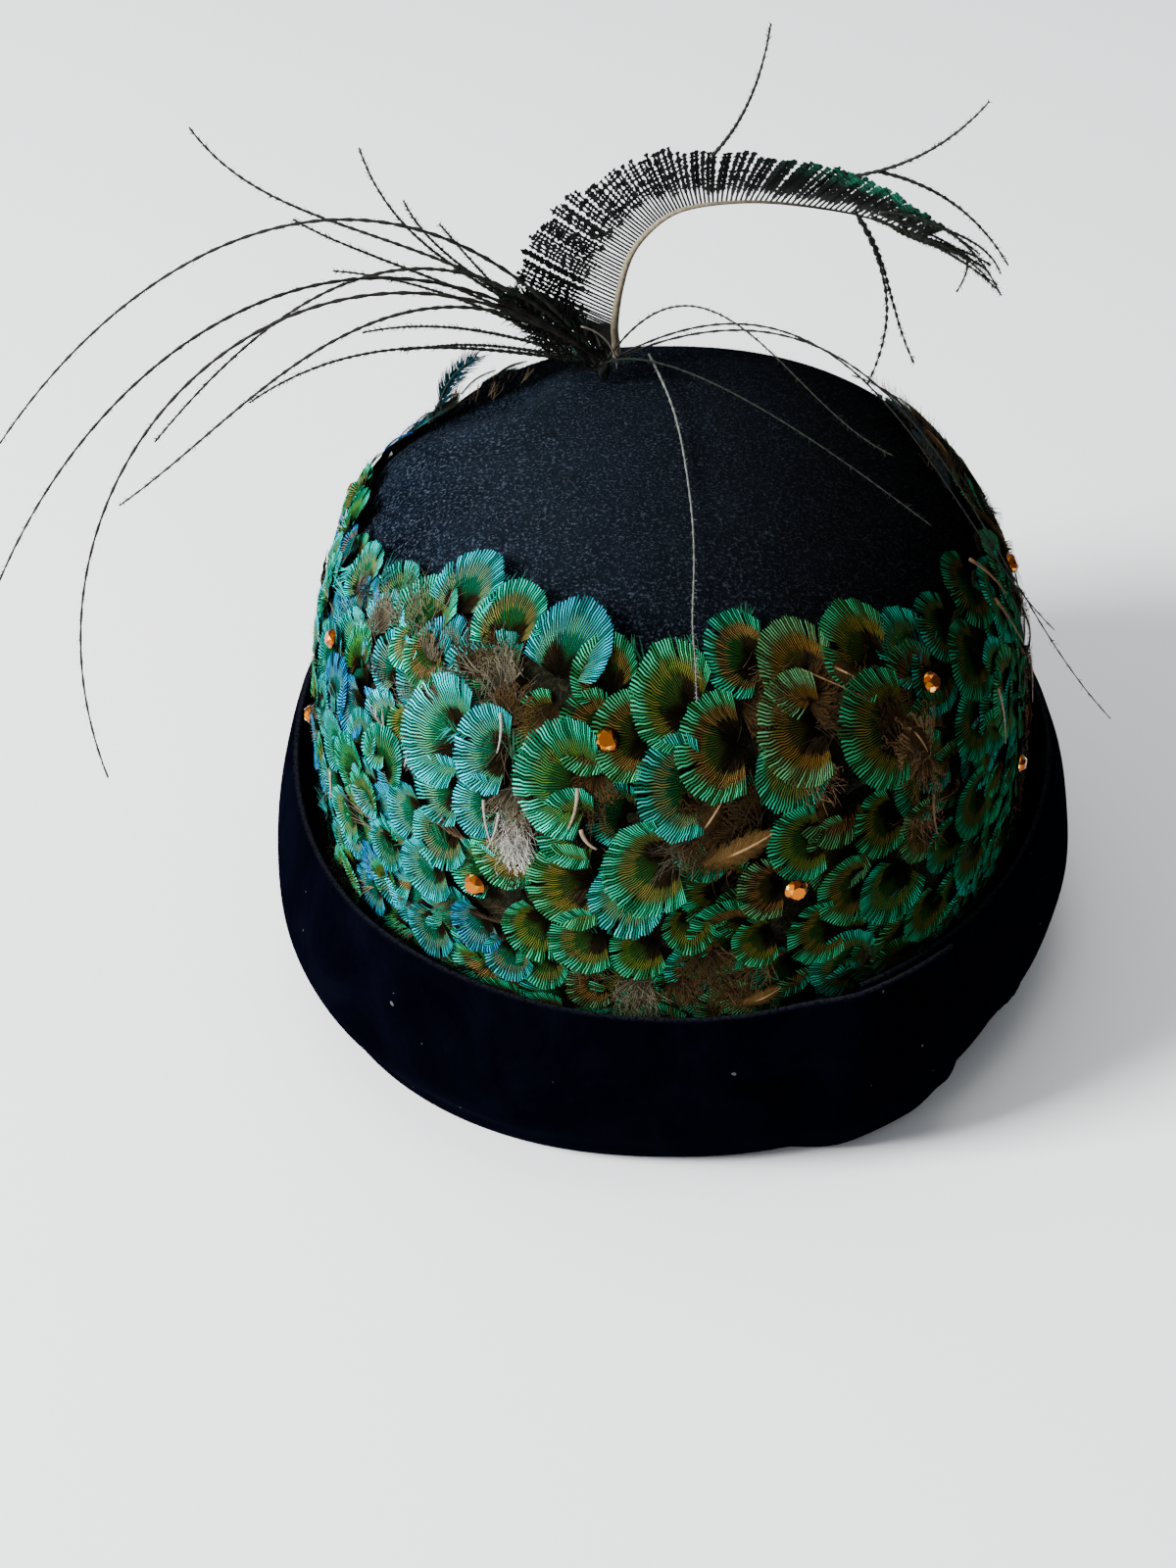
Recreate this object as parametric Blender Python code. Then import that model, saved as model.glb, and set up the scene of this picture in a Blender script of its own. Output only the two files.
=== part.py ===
"""A cocktail hat of black felt with a band of small plumage feathers, a turned-up velvet cuff and a plume.

The frame is in metres with +Z up. The origin is the middle of the head opening, in the plane that the cuff's
lowest fold rests on. The back of the hat faces -Y. The plume stands at the front left of the crown's top and
bows towards +X. Sizes below are in millimetres.
"""

import math

import bmesh
import bpy
import numpy as np

MM = 0.001

# the crown, felt blocked over an oval form
OPENING_HALF_WIDTH = 82.0
OPENING_HALF_LENGTH = 96.5
FELT = 2.5
CROWN_HEIGHT = 141.0
CROWN_SWELL = 4.2
SWELL_HEIGHT = 56.0
SHOULDER_POWER = 3.4
PLAN_POWER = 2.25
CROWN_COLUMNS = 56
CROWN_ROWS = 15

# the dent on the upper left of the crown, and the soft ridge on its near side
DENT_DEPTH = 5.5
DENT_REACH = 25.0
RIDGE_RISE = 2.4

# the velvet cuff, one strip turned up round the opening and lapped over itself at the back right
VELVET = 2.4
CUFF_HEIGHT = 58.0
CUFF_SPREAD = 21.0
LAP_LENGTH = 26.0
LAP_GAP = 1.0
LAP_ANGLE = -50.0
LAP_CORNER = 9.0
CUFF_COLUMNS = 58

# the band of overlapping plumage feathers
PLUMAGE = 3.6
PLUMAGE_STEM = 1.2
FEATHER_WIDTH = 17.5
FEATHER_STEP = 16.0
BAND_FOOT = 24.0

# the sword feather, its quill and the comb of barbs on its upper side
SWORD_REACH = 100.0
QUILL = 2.2
COMB = 0.9

# the spray of long bare barbs, fused to a knot
SPRAY_REACH = 170.0
HERL = 1.3
KNOT = 9.0

# the short tuft feather on the left
TUFT_LENGTH = 22.0
TUFT_WIDTH = 6.0

# the cut stones
STONE = 6.0
STONE_DEPTH = 2.6
STONE_SIDES = 8

CLEARANCE = 0.3

# the cuff's wall, as shares of its height and of its spread
CUFF_WALL = (
    # height above the flange, spread at the sides, spread at the back and front
    (0.00, 0.28, 0.12),
    (0.02, 0.46, 0.30),
    (0.09, 0.63, 0.46),
    (0.19, 0.68, 0.58),
    (0.29, 0.90, 0.70),
    (0.41, 1.00, 0.78),
    (0.56, 0.99, 0.78),
    (0.74, 0.91, 0.71),
    (0.90, 0.80, 0.63),
    (1.00, 0.70, 0.57),
)

# how high the cuff stands round the hat, and how far it spreads
CUFF_ROUND = (
    # degrees round from the right, share of the cuff's height, share of its spread
    (-135.0, 0.93, 1.00),
    (-90.0, 0.86, 0.92),
    (-45.0, 0.93, 0.80),
    (0.0, 1.05, 1.12),
    (45.0, 1.02, 1.04),
    (90.0, 0.98, 1.00),
    (135.0, 1.00, 1.00),
    (180.0, 1.03, 0.95),
)

# the upper edge of the feather band, measured up the felt from the crown's lower edge
BAND_EDGE = (
    # degrees round from the right, share of the way to the top
    (-150.0, 0.66),
    (-120.0, 0.70),
    (-90.0, 0.66),
    (-60.0, 0.68),
    (-30.0, 0.64),
    (0.0, 0.64),
    (30.0, 0.62),
    (60.0, 0.62),
    (90.0, 0.64),
    (120.0, 0.63),
    (150.0, 0.60),
    (180.0, 0.60),
)

# where the stones sit on the feathers
STONES = (
    # degrees round from the right, share of the way to the top, share of the stone's size
    (-102.0, 0.575, 1.00),
    (-120.0, 0.38, 0.95),
    (-158.0, 0.525, 0.85),
    (-74.0, 0.41, 0.95),
    (-48.0, 0.58, 0.85),
    (-9.0, 0.56, 0.90),
    (-27.0, 0.385, 0.75),
    (-170.0, 0.35, 0.80),
    (160.0, 0.52, 0.90),
    (134.0, 0.40, 0.95),
    (108.0, 0.55, 1.00),
    (80.0, 0.41, 0.95),
    (54.0, 0.54, 0.90),
    (26.0, 0.42, 0.85),
)

# the plume's knot and the quill's foot, on the crown's top
KNOT_PLACE = (122.0, 0.80)
QUILL_PLACE = (108.0, 0.79)

# the tuft feather's foot
TUFT_PLACE = (144.0, 0.60)

# the dent's middle, in shares of the crown's half width and half length
DENT_PLACE = (-0.60, 0.44)

# the sword feather's quill and the outer edge of its comb, as shares of its reach
SWORD_LINE = (
    # quill right, quill up, comb right, comb up
    (0.000, 0.000, -0.020, 0.010),
    (-0.005, 0.050, -0.150, 0.060),
    (-0.008, 0.105, -0.235, 0.105),
    (0.005, 0.205, -0.235, 0.115),
    (0.033, 0.300, -0.195, 0.115),
    (0.085, 0.370, -0.140, 0.125),
    (0.150, 0.415, -0.085, 0.150),
    (0.240, 0.435, -0.010, 0.140),
    (0.360, 0.440, 0.060, 0.110),
    (0.500, 0.425, 0.080, 0.090),
    (0.640, 0.395, 0.070, 0.055),
    (0.800, 0.325, 0.050, 0.030),
    (0.980, 0.215, 0.015, 0.012),
)

# each long barb runs from the knot to its end, bowed away from the straight line at one third and two thirds
SPRAY = (
    # end right, end forward, end up, sideways and up at one third, sideways and up at two thirds,
    # as shares of the spray's reach
    (-0.86, -0.16, -0.04, 0.00, 0.27, -0.02, 0.23),
    (-0.86, -0.31, -0.20, -0.04, 0.26, -0.06, 0.22),
    (-0.76, -0.22, -0.61, -0.14, 0.34, -0.20, 0.28),
    (-0.71, -0.10, -0.18, -0.02, 0.17, -0.02, 0.11),
    (-0.50, -0.07, -0.02, 0.00, 0.05, 0.00, 0.06),
    (-0.56, 0.00, 0.38, -0.01, 0.04, -0.03, 0.00),
    (-0.32, 0.00, 0.35, -0.02, 0.00, -0.03, -0.02),
    (-0.27, -0.02, 0.04, 0.00, 0.02, 0.00, 0.02),
    (0.43, -0.36, 0.05, 0.02, 0.14, 0.01, 0.08),
    (0.66, -0.48, -0.16, 0.09, 0.18, 0.06, 0.11),
    (0.75, -0.51, -0.29, 0.11, 0.20, 0.07, 0.12),
    (0.47, -0.50, 0.02, -0.01, 0.07, 0.00, 0.05),
)

# the loose barbs that leave the sword feather, each from a place along its quill
WISPS = (
    # row of the sword feather's table, end right, end up, bow sideways, bow up, as shares of its reach
    (7, 0.13, 0.34, 0.02, -0.02),
    (9, 0.33, 0.21, 0.02, -0.03),
    (9, 0.17, -0.50, 0.07, 0.04),
    (10, 0.32, -0.20, 0.02, 0.05),
)

OUT_HALF_WIDTH = OPENING_HALF_WIDTH + FELT
OUT_HALF_LENGTH = OPENING_HALF_LENGTH + FELT
CROWN_EDGE = VELVET + CLEARANCE


def clear_scene():
    for old in list(bpy.data.objects):
        bpy.data.objects.remove(old, do_unlink=True)


def make_material(name, colour, roughness, metallic=0.0):
    material = bpy.data.materials.new(name)
    material.use_nodes = True
    shader = material.node_tree.nodes["Principled BSDF"]
    shader.inputs["Base Color"].default_value = (*colour, 1.0)
    shader.inputs["Roughness"].default_value = roughness
    shader.inputs["Metallic"].default_value = metallic
    return material


def felt_profile():
    """The felt's outer side in section: its half width as a share of the opening's, and its height, with the
    length of the way up."""
    low = np.linspace(0.0, 1.0, 120)
    turn = np.linspace(0.0, math.pi / 2, 240)[1:]
    swell = CROWN_SWELL / OUT_HALF_WIDTH
    wide_low = 1 + swell * np.sin(low * math.pi / 2)
    wide_top = (1 + swell) * np.cos(turn) ** (2 / SHOULDER_POWER)
    high_low = CROWN_EDGE + (SWELL_HEIGHT - CROWN_EDGE) * low
    high_top = SWELL_HEIGHT + (CROWN_HEIGHT - SWELL_HEIGHT) * np.sin(turn) ** (2 / SHOULDER_POWER)
    wide = np.concatenate([wide_low, wide_top])
    high = np.concatenate([high_low, high_top])
    run = np.concatenate([[0.0], np.cumsum(np.hypot(np.diff(wide) * OUT_HALF_WIDTH, np.diff(high)))])
    return run / run[-1], wide, high, run[-1]


WAY, WIDE, HIGH, WAY_LENGTH = felt_profile()


def way_at_height(height):
    """The share of the way up at which the felt's side reaches a height below its widest."""
    return float(np.interp(height, HIGH, WAY))


def plain_felt(theta, way):
    """The blocked crown before its dent: an oval of rounded corners, drawn in towards the top."""
    wide = np.interp(way, WAY, WIDE)
    across, along = np.cos(theta), np.sin(theta)
    oval = (np.abs(across) ** PLAN_POWER + np.abs(along) ** PLAN_POWER) ** (-1 / PLAN_POWER)
    return np.stack(
        [
            OUT_HALF_WIDTH * wide * oval * across,
            OUT_HALF_LENGTH * wide * oval * along,
            np.interp(way, WAY, HIGH),
        ],
        axis=-1,
    )


def felt_normal(theta, way):
    way = np.clip(way, 0.004, 0.985)
    round_hat = plain_felt(theta + 0.01, way) - plain_felt(theta - 0.01, way)
    up_hat = plain_felt(theta, way + 0.004) - plain_felt(theta, way - 0.004)
    normal = np.cross(round_hat, up_hat)
    return normal / np.linalg.norm(normal, axis=-1, keepdims=True)


def dent_at(points):
    """How far the felt stands in, or out on the near side, round the dent on its upper left."""
    middle = np.array([DENT_PLACE[0] * OUT_HALF_WIDTH, DENT_PLACE[1] * OUT_HALF_LENGTH])
    away = (points[..., :2] - middle) / DENT_REACH
    far = np.hypot(away[..., 0], away[..., 1])
    high = np.clip((points[..., 2] / CROWN_HEIGHT - 0.6) / 0.25, 0.0, 1.0)
    near = np.clip(0.5 + 0.5 * (0.45 * away[..., 0] - 0.9 * away[..., 1]) / (far + 0.2), 0.0, 1.0) ** 2
    hollow = -DENT_DEPTH * np.exp(-1.6 * far**2)
    ridge = RIDGE_RISE * near * np.exp(-(((far - 1.1) / 0.32) ** 2))
    return (hollow + ridge) * high


def felt(theta, way, lift=0.0):
    """Points on the crown's outer side, or lifted from it along its normal."""
    theta, way = np.broadcast_arrays(np.asarray(theta, float), np.asarray(way, float))
    points = plain_felt(theta, way)
    away = (dent_at(points) + lift)[..., None]
    return points + felt_normal(theta, way) * away


def read_round(table, degrees, column=1):
    """A column of a table whose first column is an angle, eased from row to row and closed round the hat."""
    rows = np.array(sorted(table), float)
    angles = np.concatenate([rows[-1:, 0] - 360.0, rows[:, 0], rows[:1, 0] + 360.0])
    values = np.concatenate([rows[-1:, column], rows[:, column], rows[:1, column]])
    degrees = (np.asarray(degrees, float) + 180.0) % 360.0 - 180.0
    place = np.clip(np.searchsorted(angles, degrees, side="right") - 1, 0, len(angles) - 2)
    share = (degrees - angles[place]) / (angles[place + 1] - angles[place])
    eased = share * share * (3 - 2 * share)
    return values[place] + (values[place + 1] - values[place]) * eased


def read_along(table, share):
    """The rows of a table read smoothly along it, from 0 at the first row to 1 at the last."""
    rows = np.array(table, float)
    place = share * (len(rows) - 1)
    row = min(int(place), len(rows) - 2)
    t = place - row
    before, after = rows[max(row - 1, 0)], rows[min(row + 2, len(rows) - 1)]
    here, there = rows[row], rows[row + 1]
    return 0.5 * (
        2 * here
        + (there - before) * t
        + (2 * before - 5 * here + 4 * there - after) * t**2
        + (3 * here - before - 3 * there + after) * t**3
    )


def closed_body(name, rings, material, first=None, last=None, loop=False, sharp=40.0):
    """One closed body: each ring of points is bridged to the next, and the ends come to a point, or are
    capped, or meet each other."""
    mesh = bpy.data.meshes.new(name)
    shape = bmesh.new()
    rows = [[shape.verts.new(tuple(np.asarray(p, float) * MM)) for p in ring] for ring in rings]
    pairs = list(zip(rows[:-1], rows[1:]))
    if loop:
        pairs.append((rows[-1], rows[0]))
    for here, there in pairs:
        for i in range(len(here)):
            j = (i + 1) % len(here)
            shape.faces.new((here[i], here[j], there[j], there[i]))
    if not loop:
        for ring, tip in ((rows[0], first), (rows[-1], last)):
            if tip is None:
                shape.faces.new(ring)
                continue
            point = shape.verts.new(tuple(np.asarray(tip, float) * MM))
            for i in range(len(ring)):
                shape.faces.new((ring[i], ring[(i + 1) % len(ring)], point))
    bmesh.ops.recalc_face_normals(shape, faces=shape.faces)
    shape.to_mesh(mesh)
    shape.free()
    mesh.shade_smooth()
    mesh.set_sharp_from_angle(angle=math.radians(sharp))
    mesh.materials.append(material)
    piece = bpy.data.objects.new(name, mesh)
    bpy.context.scene.collection.objects.link(piece)
    return piece


def make_crown(material):
    theta = np.linspace(0, 2 * math.pi, CROWN_COLUMNS, endpoint=False)
    out_ways = 1 - np.linspace(0.05, 1.0, CROWN_ROWS) ** 0.9
    out_ways = np.append(out_ways[:-1], 0.0)
    in_ways = out_ways[::-1][::2]
    outside = [felt(theta, way) for way in out_ways]
    inside = [felt(theta, way, -FELT) for way in in_ways]
    top = felt(0.0, 1.0)
    return closed_body("crown", outside + inside, material, first=top, last=felt(0.0, 1.0, -FELT))


def cuff_middle(angle, lapped, corner):
    """The middle of the cuff's wall in section at one angle, as distance out from the crown's edge and
    height. It starts with the flange that the crown stands on. Where the strip laps over its own beginning,
    the flange draws back, and the wall stands further out by the thickness of the wall beneath."""
    theta = math.radians(angle)
    sides = math.cos(theta) ** 2
    rise = CUFF_HEIGHT * float(read_round(CUFF_ROUND, angle, 1))
    reach = CUFF_SPREAD * float(read_round(CUFF_ROUND, angle, 2))
    rows = np.array(CUFF_WALL, float)
    spread = reach * (sides * rows[:, 1] + (1 - sides) * rows[:, 2])
    foot = 0.10 * lapped + corner
    shares = foot + (1 - foot) * rows[:, 0]
    out = np.interp(shares, rows[:, 0], spread)
    high = VELVET / 2 + (rise - VELVET / 2) * shares
    wall = np.stack([out, high], axis=-1)
    run = np.gradient(wall, axis=0)
    run /= np.linalg.norm(run, axis=-1, keepdims=True)
    normal = np.stack([run[:, 1], -run[:, 0]], axis=-1)
    wall = wall + normal * (VELVET + LAP_GAP) * lapped
    start, heading = wall[0], run[0]
    flange = np.array([[-FELT, VELVET / 2], [start[0] * 0.4 - FELT * 0.6, VELVET / 2]])
    drawn = np.array([start - heading * 1.6, start - heading * 0.8])
    return np.concatenate([flange * (1 - lapped) + drawn * lapped, wall])


def thick_section(middle, thickness):
    """A closed outline round a line in section, half the thickness to each side."""
    run = np.gradient(middle, axis=0)
    run /= np.linalg.norm(run, axis=-1, keepdims=True)
    side = np.stack([run[:, 1], -run[:, 0]], axis=-1) * thickness / 2
    return np.concatenate([middle + side, (middle - side)[::-1]])


def make_cuff(material):
    """One strip, from its hidden beginning under the lap, round the hat, to its end over the lap."""
    lap_turn = math.degrees(LAP_LENGTH / (OUT_HALF_LENGTH + CUFF_SPREAD * 0.5))
    corner_turn = math.degrees(LAP_CORNER / (OUT_HALF_LENGTH + CUFF_SPREAD * 0.5))
    first, last = LAP_ANGLE - lap_turn, LAP_ANGLE + 360.0
    ramp = 0.7 * lap_turn
    rough = np.linspace(first, last - lap_turn - ramp, CUFF_COLUMNS - 16)
    lapping = np.linspace(last - lap_turn - ramp, last - corner_turn, 11)[1:]
    rounding = last - corner_turn * (1 - np.sin(np.linspace(0, math.pi / 2, 6)))[1:]
    rings = []
    for angle in np.concatenate([rough, lapping, rounding]):
        lapped = float(np.clip((angle - (last - lap_turn - ramp)) / ramp, 0.0, 1.0))
        lapped = lapped * lapped * (3 - 2 * lapped)
        turned = float(np.clip((angle - (last - corner_turn)) / corner_turn, 0.0, 1.0))
        corner = LAP_CORNER / CUFF_HEIGHT * (1 - math.sqrt(max(0.0, 1 - turned**2)))
        outline = thick_section(cuff_middle(angle, lapped, corner), VELVET)
        theta = math.radians(angle)
        edge = plain_felt(theta, 0.0)
        ahead = plain_felt(theta + 0.01, 0.0) - plain_felt(theta - 0.01, 0.0)
        away = np.array([ahead[1], -ahead[0]]) / math.hypot(ahead[0], ahead[1])
        rings.append([(*(edge[:2] + away * out), max(high, 0.0)) for out, high in outline])
    return closed_body("cuff", rings, material)


def band_layers(theta):
    """The feather band's outside at some angles, as rings from its foot up: how far up the felt each ring
    runs, and how far it stands from the felt. Each row thickens towards its free edge, and each feather's
    middle hangs below its sides."""
    theta = np.asarray(theta, float)
    columns = 2 * round(math.pi * (OUT_HALF_WIDTH + OUT_HALF_LENGTH) / FEATHER_WIDTH)
    foot = way_at_height(BAND_FOOT)
    tallest = (max(row[1] for row in BAND_EDGE) - foot) * WAY_LENGTH
    rows = max(2, round(tallest / FEATHER_STEP))
    scallop = 0.5 - np.abs(1 - (theta / (2 * math.pi) * columns) % 2)
    edge = read_round(BAND_EDGE, np.degrees(theta)) - 0.22 * scallop * FEATHER_STEP / WAY_LENGTH
    layers = []
    for row in range(rows):
        for part, thick in ((0.02, 1.0), (0.80, 0.0)):
            lean = scallop * (1 if row % 2 else -1) * 0.34 / rows * (0.0 if row + part < 0.1 else 1.0)
            share = np.clip((row + part) / rows + lean, 0.0, 1.0)
            lift = CLEARANCE + PLUMAGE_STEM + (PLUMAGE - PLUMAGE_STEM) * thick
            layers.append((foot + (edge - foot) * share, lift))
    layers.append((edge, CLEARANCE + PLUMAGE_STEM))
    return columns, foot, edge, layers


def band_top(theta, way):
    """How far the feather band's outside stands from the felt over one place."""
    layers = band_layers(theta)[3]
    return float(np.interp(way, [float(ways) for ways, lift in layers], [lift for ways, lift in layers]))


def make_band(material):
    """A closed skin on the felt whose outside steps like overlapping feathers."""
    theta = np.linspace(0, 2 * math.pi, band_layers(0.0)[0], endpoint=False)
    columns, foot, edge, layers = band_layers(theta)
    outside = [felt(theta, ways, lift) for ways, lift in layers]
    shares = np.array([1.0, 0.93, 0.86, 0.79, 0.72, 0.65, 0.57, 0.46, 0.31, 0.15, 0.0])
    inside = [felt(theta, foot + (edge - foot) * share, CLEARANCE * 2) for share in shares]
    return closed_body("feather_band", outside + inside, material, loop=True)


def thread(points, thick, thin, sides=3):
    """Rings round a line of points, tapering from one thickness to another."""
    points = np.asarray(points, float)
    run = np.gradient(points, axis=0)
    run /= np.linalg.norm(run, axis=-1, keepdims=True)
    side = np.cross(run[0], (0.0, 0.0, 1.0))
    if np.linalg.norm(side) < 0.2:
        side = np.cross(run[0], (0.0, 1.0, 0.0))
    rings = []
    for i, (point, ahead) in enumerate(zip(points, run)):
        side = side - ahead * side.dot(ahead)
        side /= np.linalg.norm(side)
        across = np.cross(ahead, side)
        radius = (thick + (thin - thick) * i / (len(points) - 1)) / 2
        turns = np.arange(sides) * 2 * math.pi / sides
        rings.append([point + radius * (math.cos(a) * side + math.sin(a) * across) for a in turns])
    return rings


def bowed_line(root, row, reach, steps):
    """A smooth line from the root to its end, through two points bowed away from the straight."""
    end = root + reach * np.array(row[:3])
    third = root + (end - root) / 3 + reach * np.array([row[3], 0.0, row[4]])
    two_thirds = root + (end - root) * 2 / 3 + reach * np.array([row[5], 0.0, row[6]])
    t = np.linspace(0, 1, steps)[:, None]
    weights = (
        -4.5 * (t - 1 / 3) * (t - 2 / 3) * (t - 1),
        13.5 * t * (t - 2 / 3) * (t - 1),
        -13.5 * t * (t - 1 / 3) * (t - 1),
        4.5 * t * (t - 1 / 3) * (t - 2 / 3),
    )
    return sum(w * p for w, p in zip(weights, (root, third, two_thirds, end)))


def fuse(piece, others):
    """Joins closed shapes that start inside a piece to it, as one body."""
    for other in others:
        other.hide_render = True
        other.display_type = "WIRE"
        union = piece.modifiers.new("join_" + other.name, "BOOLEAN")
        union.operation = "UNION"
        union.solver = "EXACT"
        union.object = other


def make_spray(material):
    """The knot at the plume's root, and the long bare barbs fused to it."""
    theta = math.radians(KNOT_PLACE[0])
    root = felt(theta, KNOT_PLACE[1], CLEARANCE + KNOT / 2)
    root = root + np.array([0.0, -QUILL - KNOT / 2, 0.0])
    steps = np.linspace(0, math.pi, 7)
    rings = [
        [
            root + KNOT / 2 * np.array([math.sin(s) * math.cos(a), math.sin(s) * math.sin(a), math.cos(s)])
            for a in np.arange(10) * math.pi / 5
        ]
        for s in steps[1:-1]
    ]
    up = np.array([0.0, 0.0, KNOT / 2])
    knot = closed_body("herl_spray", rings, material, first=root + up, last=root - up)
    strands = []
    for i, row in enumerate(SPRAY):
        line = bowed_line(root, row, SPRAY_REACH, 12)
        strands.append(closed_body(f"barb_{i + 1:02d}", thread(line, HERL * 1.2, HERL * 0.7), material))
    fuse(knot, strands)
    return knot


def sword_place(row, foot):
    """The quill's point and the comb's outer point for one row of the sword feather's table."""
    quill = foot + SWORD_REACH * np.array([row[0], 0.0, row[1]])
    outer = quill + SWORD_REACH * np.array([row[2], 0.0, row[3]])
    return quill, outer


def make_sword(material):
    """A quill with a comb of barbs along its upper side, thin as a sheet, and a few barbs that have come
    loose."""
    theta = math.radians(QUILL_PLACE[0])
    foot = felt(theta, QUILL_PLACE[1], CLEARANCE + QUILL * 0.6)
    rings = []
    for share in np.linspace(0, 1, 25):
        quill, outer = sword_place(read_along(SWORD_LINE, share), foot)
        reach = np.linalg.norm(outer - quill)
        up = (outer - quill) / reach
        away = np.array([0.0, 1.0, 0.0])
        thick = QUILL * (1 - 0.7 * share) / 2
        sheet = COMB / 2
        near_side = ((-thick, 0), (0, -thick), (thick, -sheet), (reach, -sheet / 2))
        far_side = ((reach, sheet / 2), (thick, sheet), (0, thick))
        rings.append([quill + up * a + away * b for a, b in near_side + far_side])
    sword = closed_body("sword_feather", rings, material)
    wisps = []
    for i, (row, right, up, bow_side, bow_up) in enumerate(WISPS):
        quill, outer = sword_place(SWORD_LINE[row], foot)
        start = quill + (outer - quill) * (0.9 if up > 0 else 0.3)
        ends = (right, -0.02 * i - 0.02, up, bow_side, bow_up, bow_side, bow_up)
        line = bowed_line(start, ends, SWORD_REACH, 9)
        wisps.append(closed_body(f"wisp_{i + 1:02d}", thread(line, HERL, HERL * 0.6), material))
    fuse(sword, wisps)
    return sword


def make_tuft(material):
    """A short leaf-shaped feather with a little curve, standing on the band's upper edge."""
    theta = math.radians(TUFT_PLACE[0])
    foot = felt(theta, TUFT_PLACE[1], band_top(theta, TUFT_PLACE[1]) + 2 * CLEARANCE)
    rings = []
    for share in np.linspace(0, 1, 9):
        bend = math.radians(20.0 + 35.0 * share)
        middle = foot + TUFT_LENGTH * share * np.array([math.sin(bend) * 0.9, 0.0, math.cos(bend) * 0.9])
        half = TUFT_WIDTH / 2 * (0.12 + 0.88 * math.sin(math.pi * min(1.0, share * 0.92 + 0.02)) ** 0.8)
        side = np.array([math.cos(bend), 0.0, -math.sin(bend)])
        thin = COMB / 2
        back = np.array([0.0, thin, 0.0])
        rings.append([middle - side * half, middle - back, middle + side * half, middle + back])
    return closed_body("tuft_feather", rings, material)


def make_stone(name, row, material):
    """A flat-backed stone: a table and one facet on each side of it, over a girdle. It lies on the highest of
    the feathers under it."""
    degrees, way, size = row
    theta = math.radians(degrees)
    levels = ((0.78, 0.0), (1.0, 0.30), (1.0, 0.42), (0.56, 1.0))
    plan = np.linalg.norm(felt(theta, way)[:2])
    under = []
    for share, depth in ((0.4, 0.0), *levels[:2]):
        radius = STONE * size / 2 * share
        for a in np.arange(2 * STONE_SIDES) * math.pi / STONE_SIDES:
            top = band_top(theta + radius * math.cos(a) / plan, way + radius * math.sin(a) / WAY_LENGTH)
            under.append(top - STONE_DEPTH * size * depth)
    seat = felt(theta, way, max(under) + 2 * CLEARANCE)
    out = felt_normal(np.float64(theta), np.float64(way))
    across = np.cross((0.0, 0.0, 1.0), out)
    across /= np.linalg.norm(across)
    up = np.cross(out, across)
    turns = (np.arange(STONE_SIDES) + 0.5) * 2 * math.pi / STONE_SIDES
    rings = []
    for share, depth in levels:
        radius = STONE * size / 2 * share
        centre = seat + out * STONE_DEPTH * size * depth
        rings.append([centre + radius * (math.cos(a) * across + math.sin(a) * up) for a in turns])
    return closed_body(name, rings, material, sharp=12.0)


def build():
    clear_scene()
    felt_black = make_material("felt_black", (0.016, 0.018, 0.024), 0.92)
    velvet_black = make_material("velvet_black", (0.008, 0.009, 0.014), 0.95)
    plumage_green = make_material("plumage_green", (0.02, 0.22, 0.19), 0.45)
    feather_dark = make_material("feather_dark", (0.05, 0.05, 0.045), 0.60)
    herl_dark = make_material("herl_dark", (0.03, 0.032, 0.028), 0.60)
    feather_teal = make_material("feather_teal", (0.01, 0.12, 0.14), 0.45)
    stone_amber = make_material("stone_amber", (0.85, 0.33, 0.02), 0.06)
    make_crown(felt_black)
    make_cuff(velvet_black)
    make_band(plumage_green)
    make_sword(feather_dark)
    make_spray(herl_dark)
    make_tuft(feather_teal)
    for i, row in enumerate(STONES):
        make_stone(f"rhinestone_{i + 1:02d}", row, stone_amber)


build()
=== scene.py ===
"""The looks of a cocktail hat: black napped felt, a velvet cuff, a band of iridescent plumage with
amber stones, and a plume of a sword feather and long bare herls.

Sizes are millimetres unless a name says otherwise, and the frame is the part's own: the origin is the
middle of the head opening, the back of the hat faces -Y, and the photograph was taken from there, from
above.
"""

import math

import bpy
import numpy as np
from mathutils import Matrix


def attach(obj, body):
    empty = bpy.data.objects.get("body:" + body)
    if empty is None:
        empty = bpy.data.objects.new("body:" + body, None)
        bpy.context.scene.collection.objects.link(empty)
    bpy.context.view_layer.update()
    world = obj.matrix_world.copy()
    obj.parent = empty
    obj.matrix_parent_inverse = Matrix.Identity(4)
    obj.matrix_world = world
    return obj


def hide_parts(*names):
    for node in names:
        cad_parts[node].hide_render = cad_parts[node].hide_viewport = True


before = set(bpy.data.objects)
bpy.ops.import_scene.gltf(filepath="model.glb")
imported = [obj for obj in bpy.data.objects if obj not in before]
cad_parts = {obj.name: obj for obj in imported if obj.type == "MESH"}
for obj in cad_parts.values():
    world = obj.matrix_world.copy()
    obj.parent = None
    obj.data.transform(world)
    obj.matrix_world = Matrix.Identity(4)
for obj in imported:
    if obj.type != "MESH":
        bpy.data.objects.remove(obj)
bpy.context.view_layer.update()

MM = 0.001

# the crown, as in the part's source
OUT_HALF_WIDTH = 84.5
OUT_HALF_LENGTH = 99.0
FELT = 2.5
CROWN_EDGE = 2.7
CROWN_HEIGHT = 141.0
CROWN_SWELL = 4.2
SWELL_HEIGHT = 56.0
SHOULDER_POWER = 3.4
PLAN_POWER = 2.25
DENT_PLACE = (-0.60, 0.44)
DENT_DEPTH = 5.5
DENT_REACH = 25.0
RIDGE_RISE = 2.4

# the painted shade in the hollow beyond the ridge: the way that it lies, how far out it starts and its soft
# edge, in metres
HOLLOW_SHADE_SIDE = (-0.40, 0.413, 0.818)
HOLLOW_SHADE_START = 0.1415
HOLLOW_SHADE_EDGE = 0.0030

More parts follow.
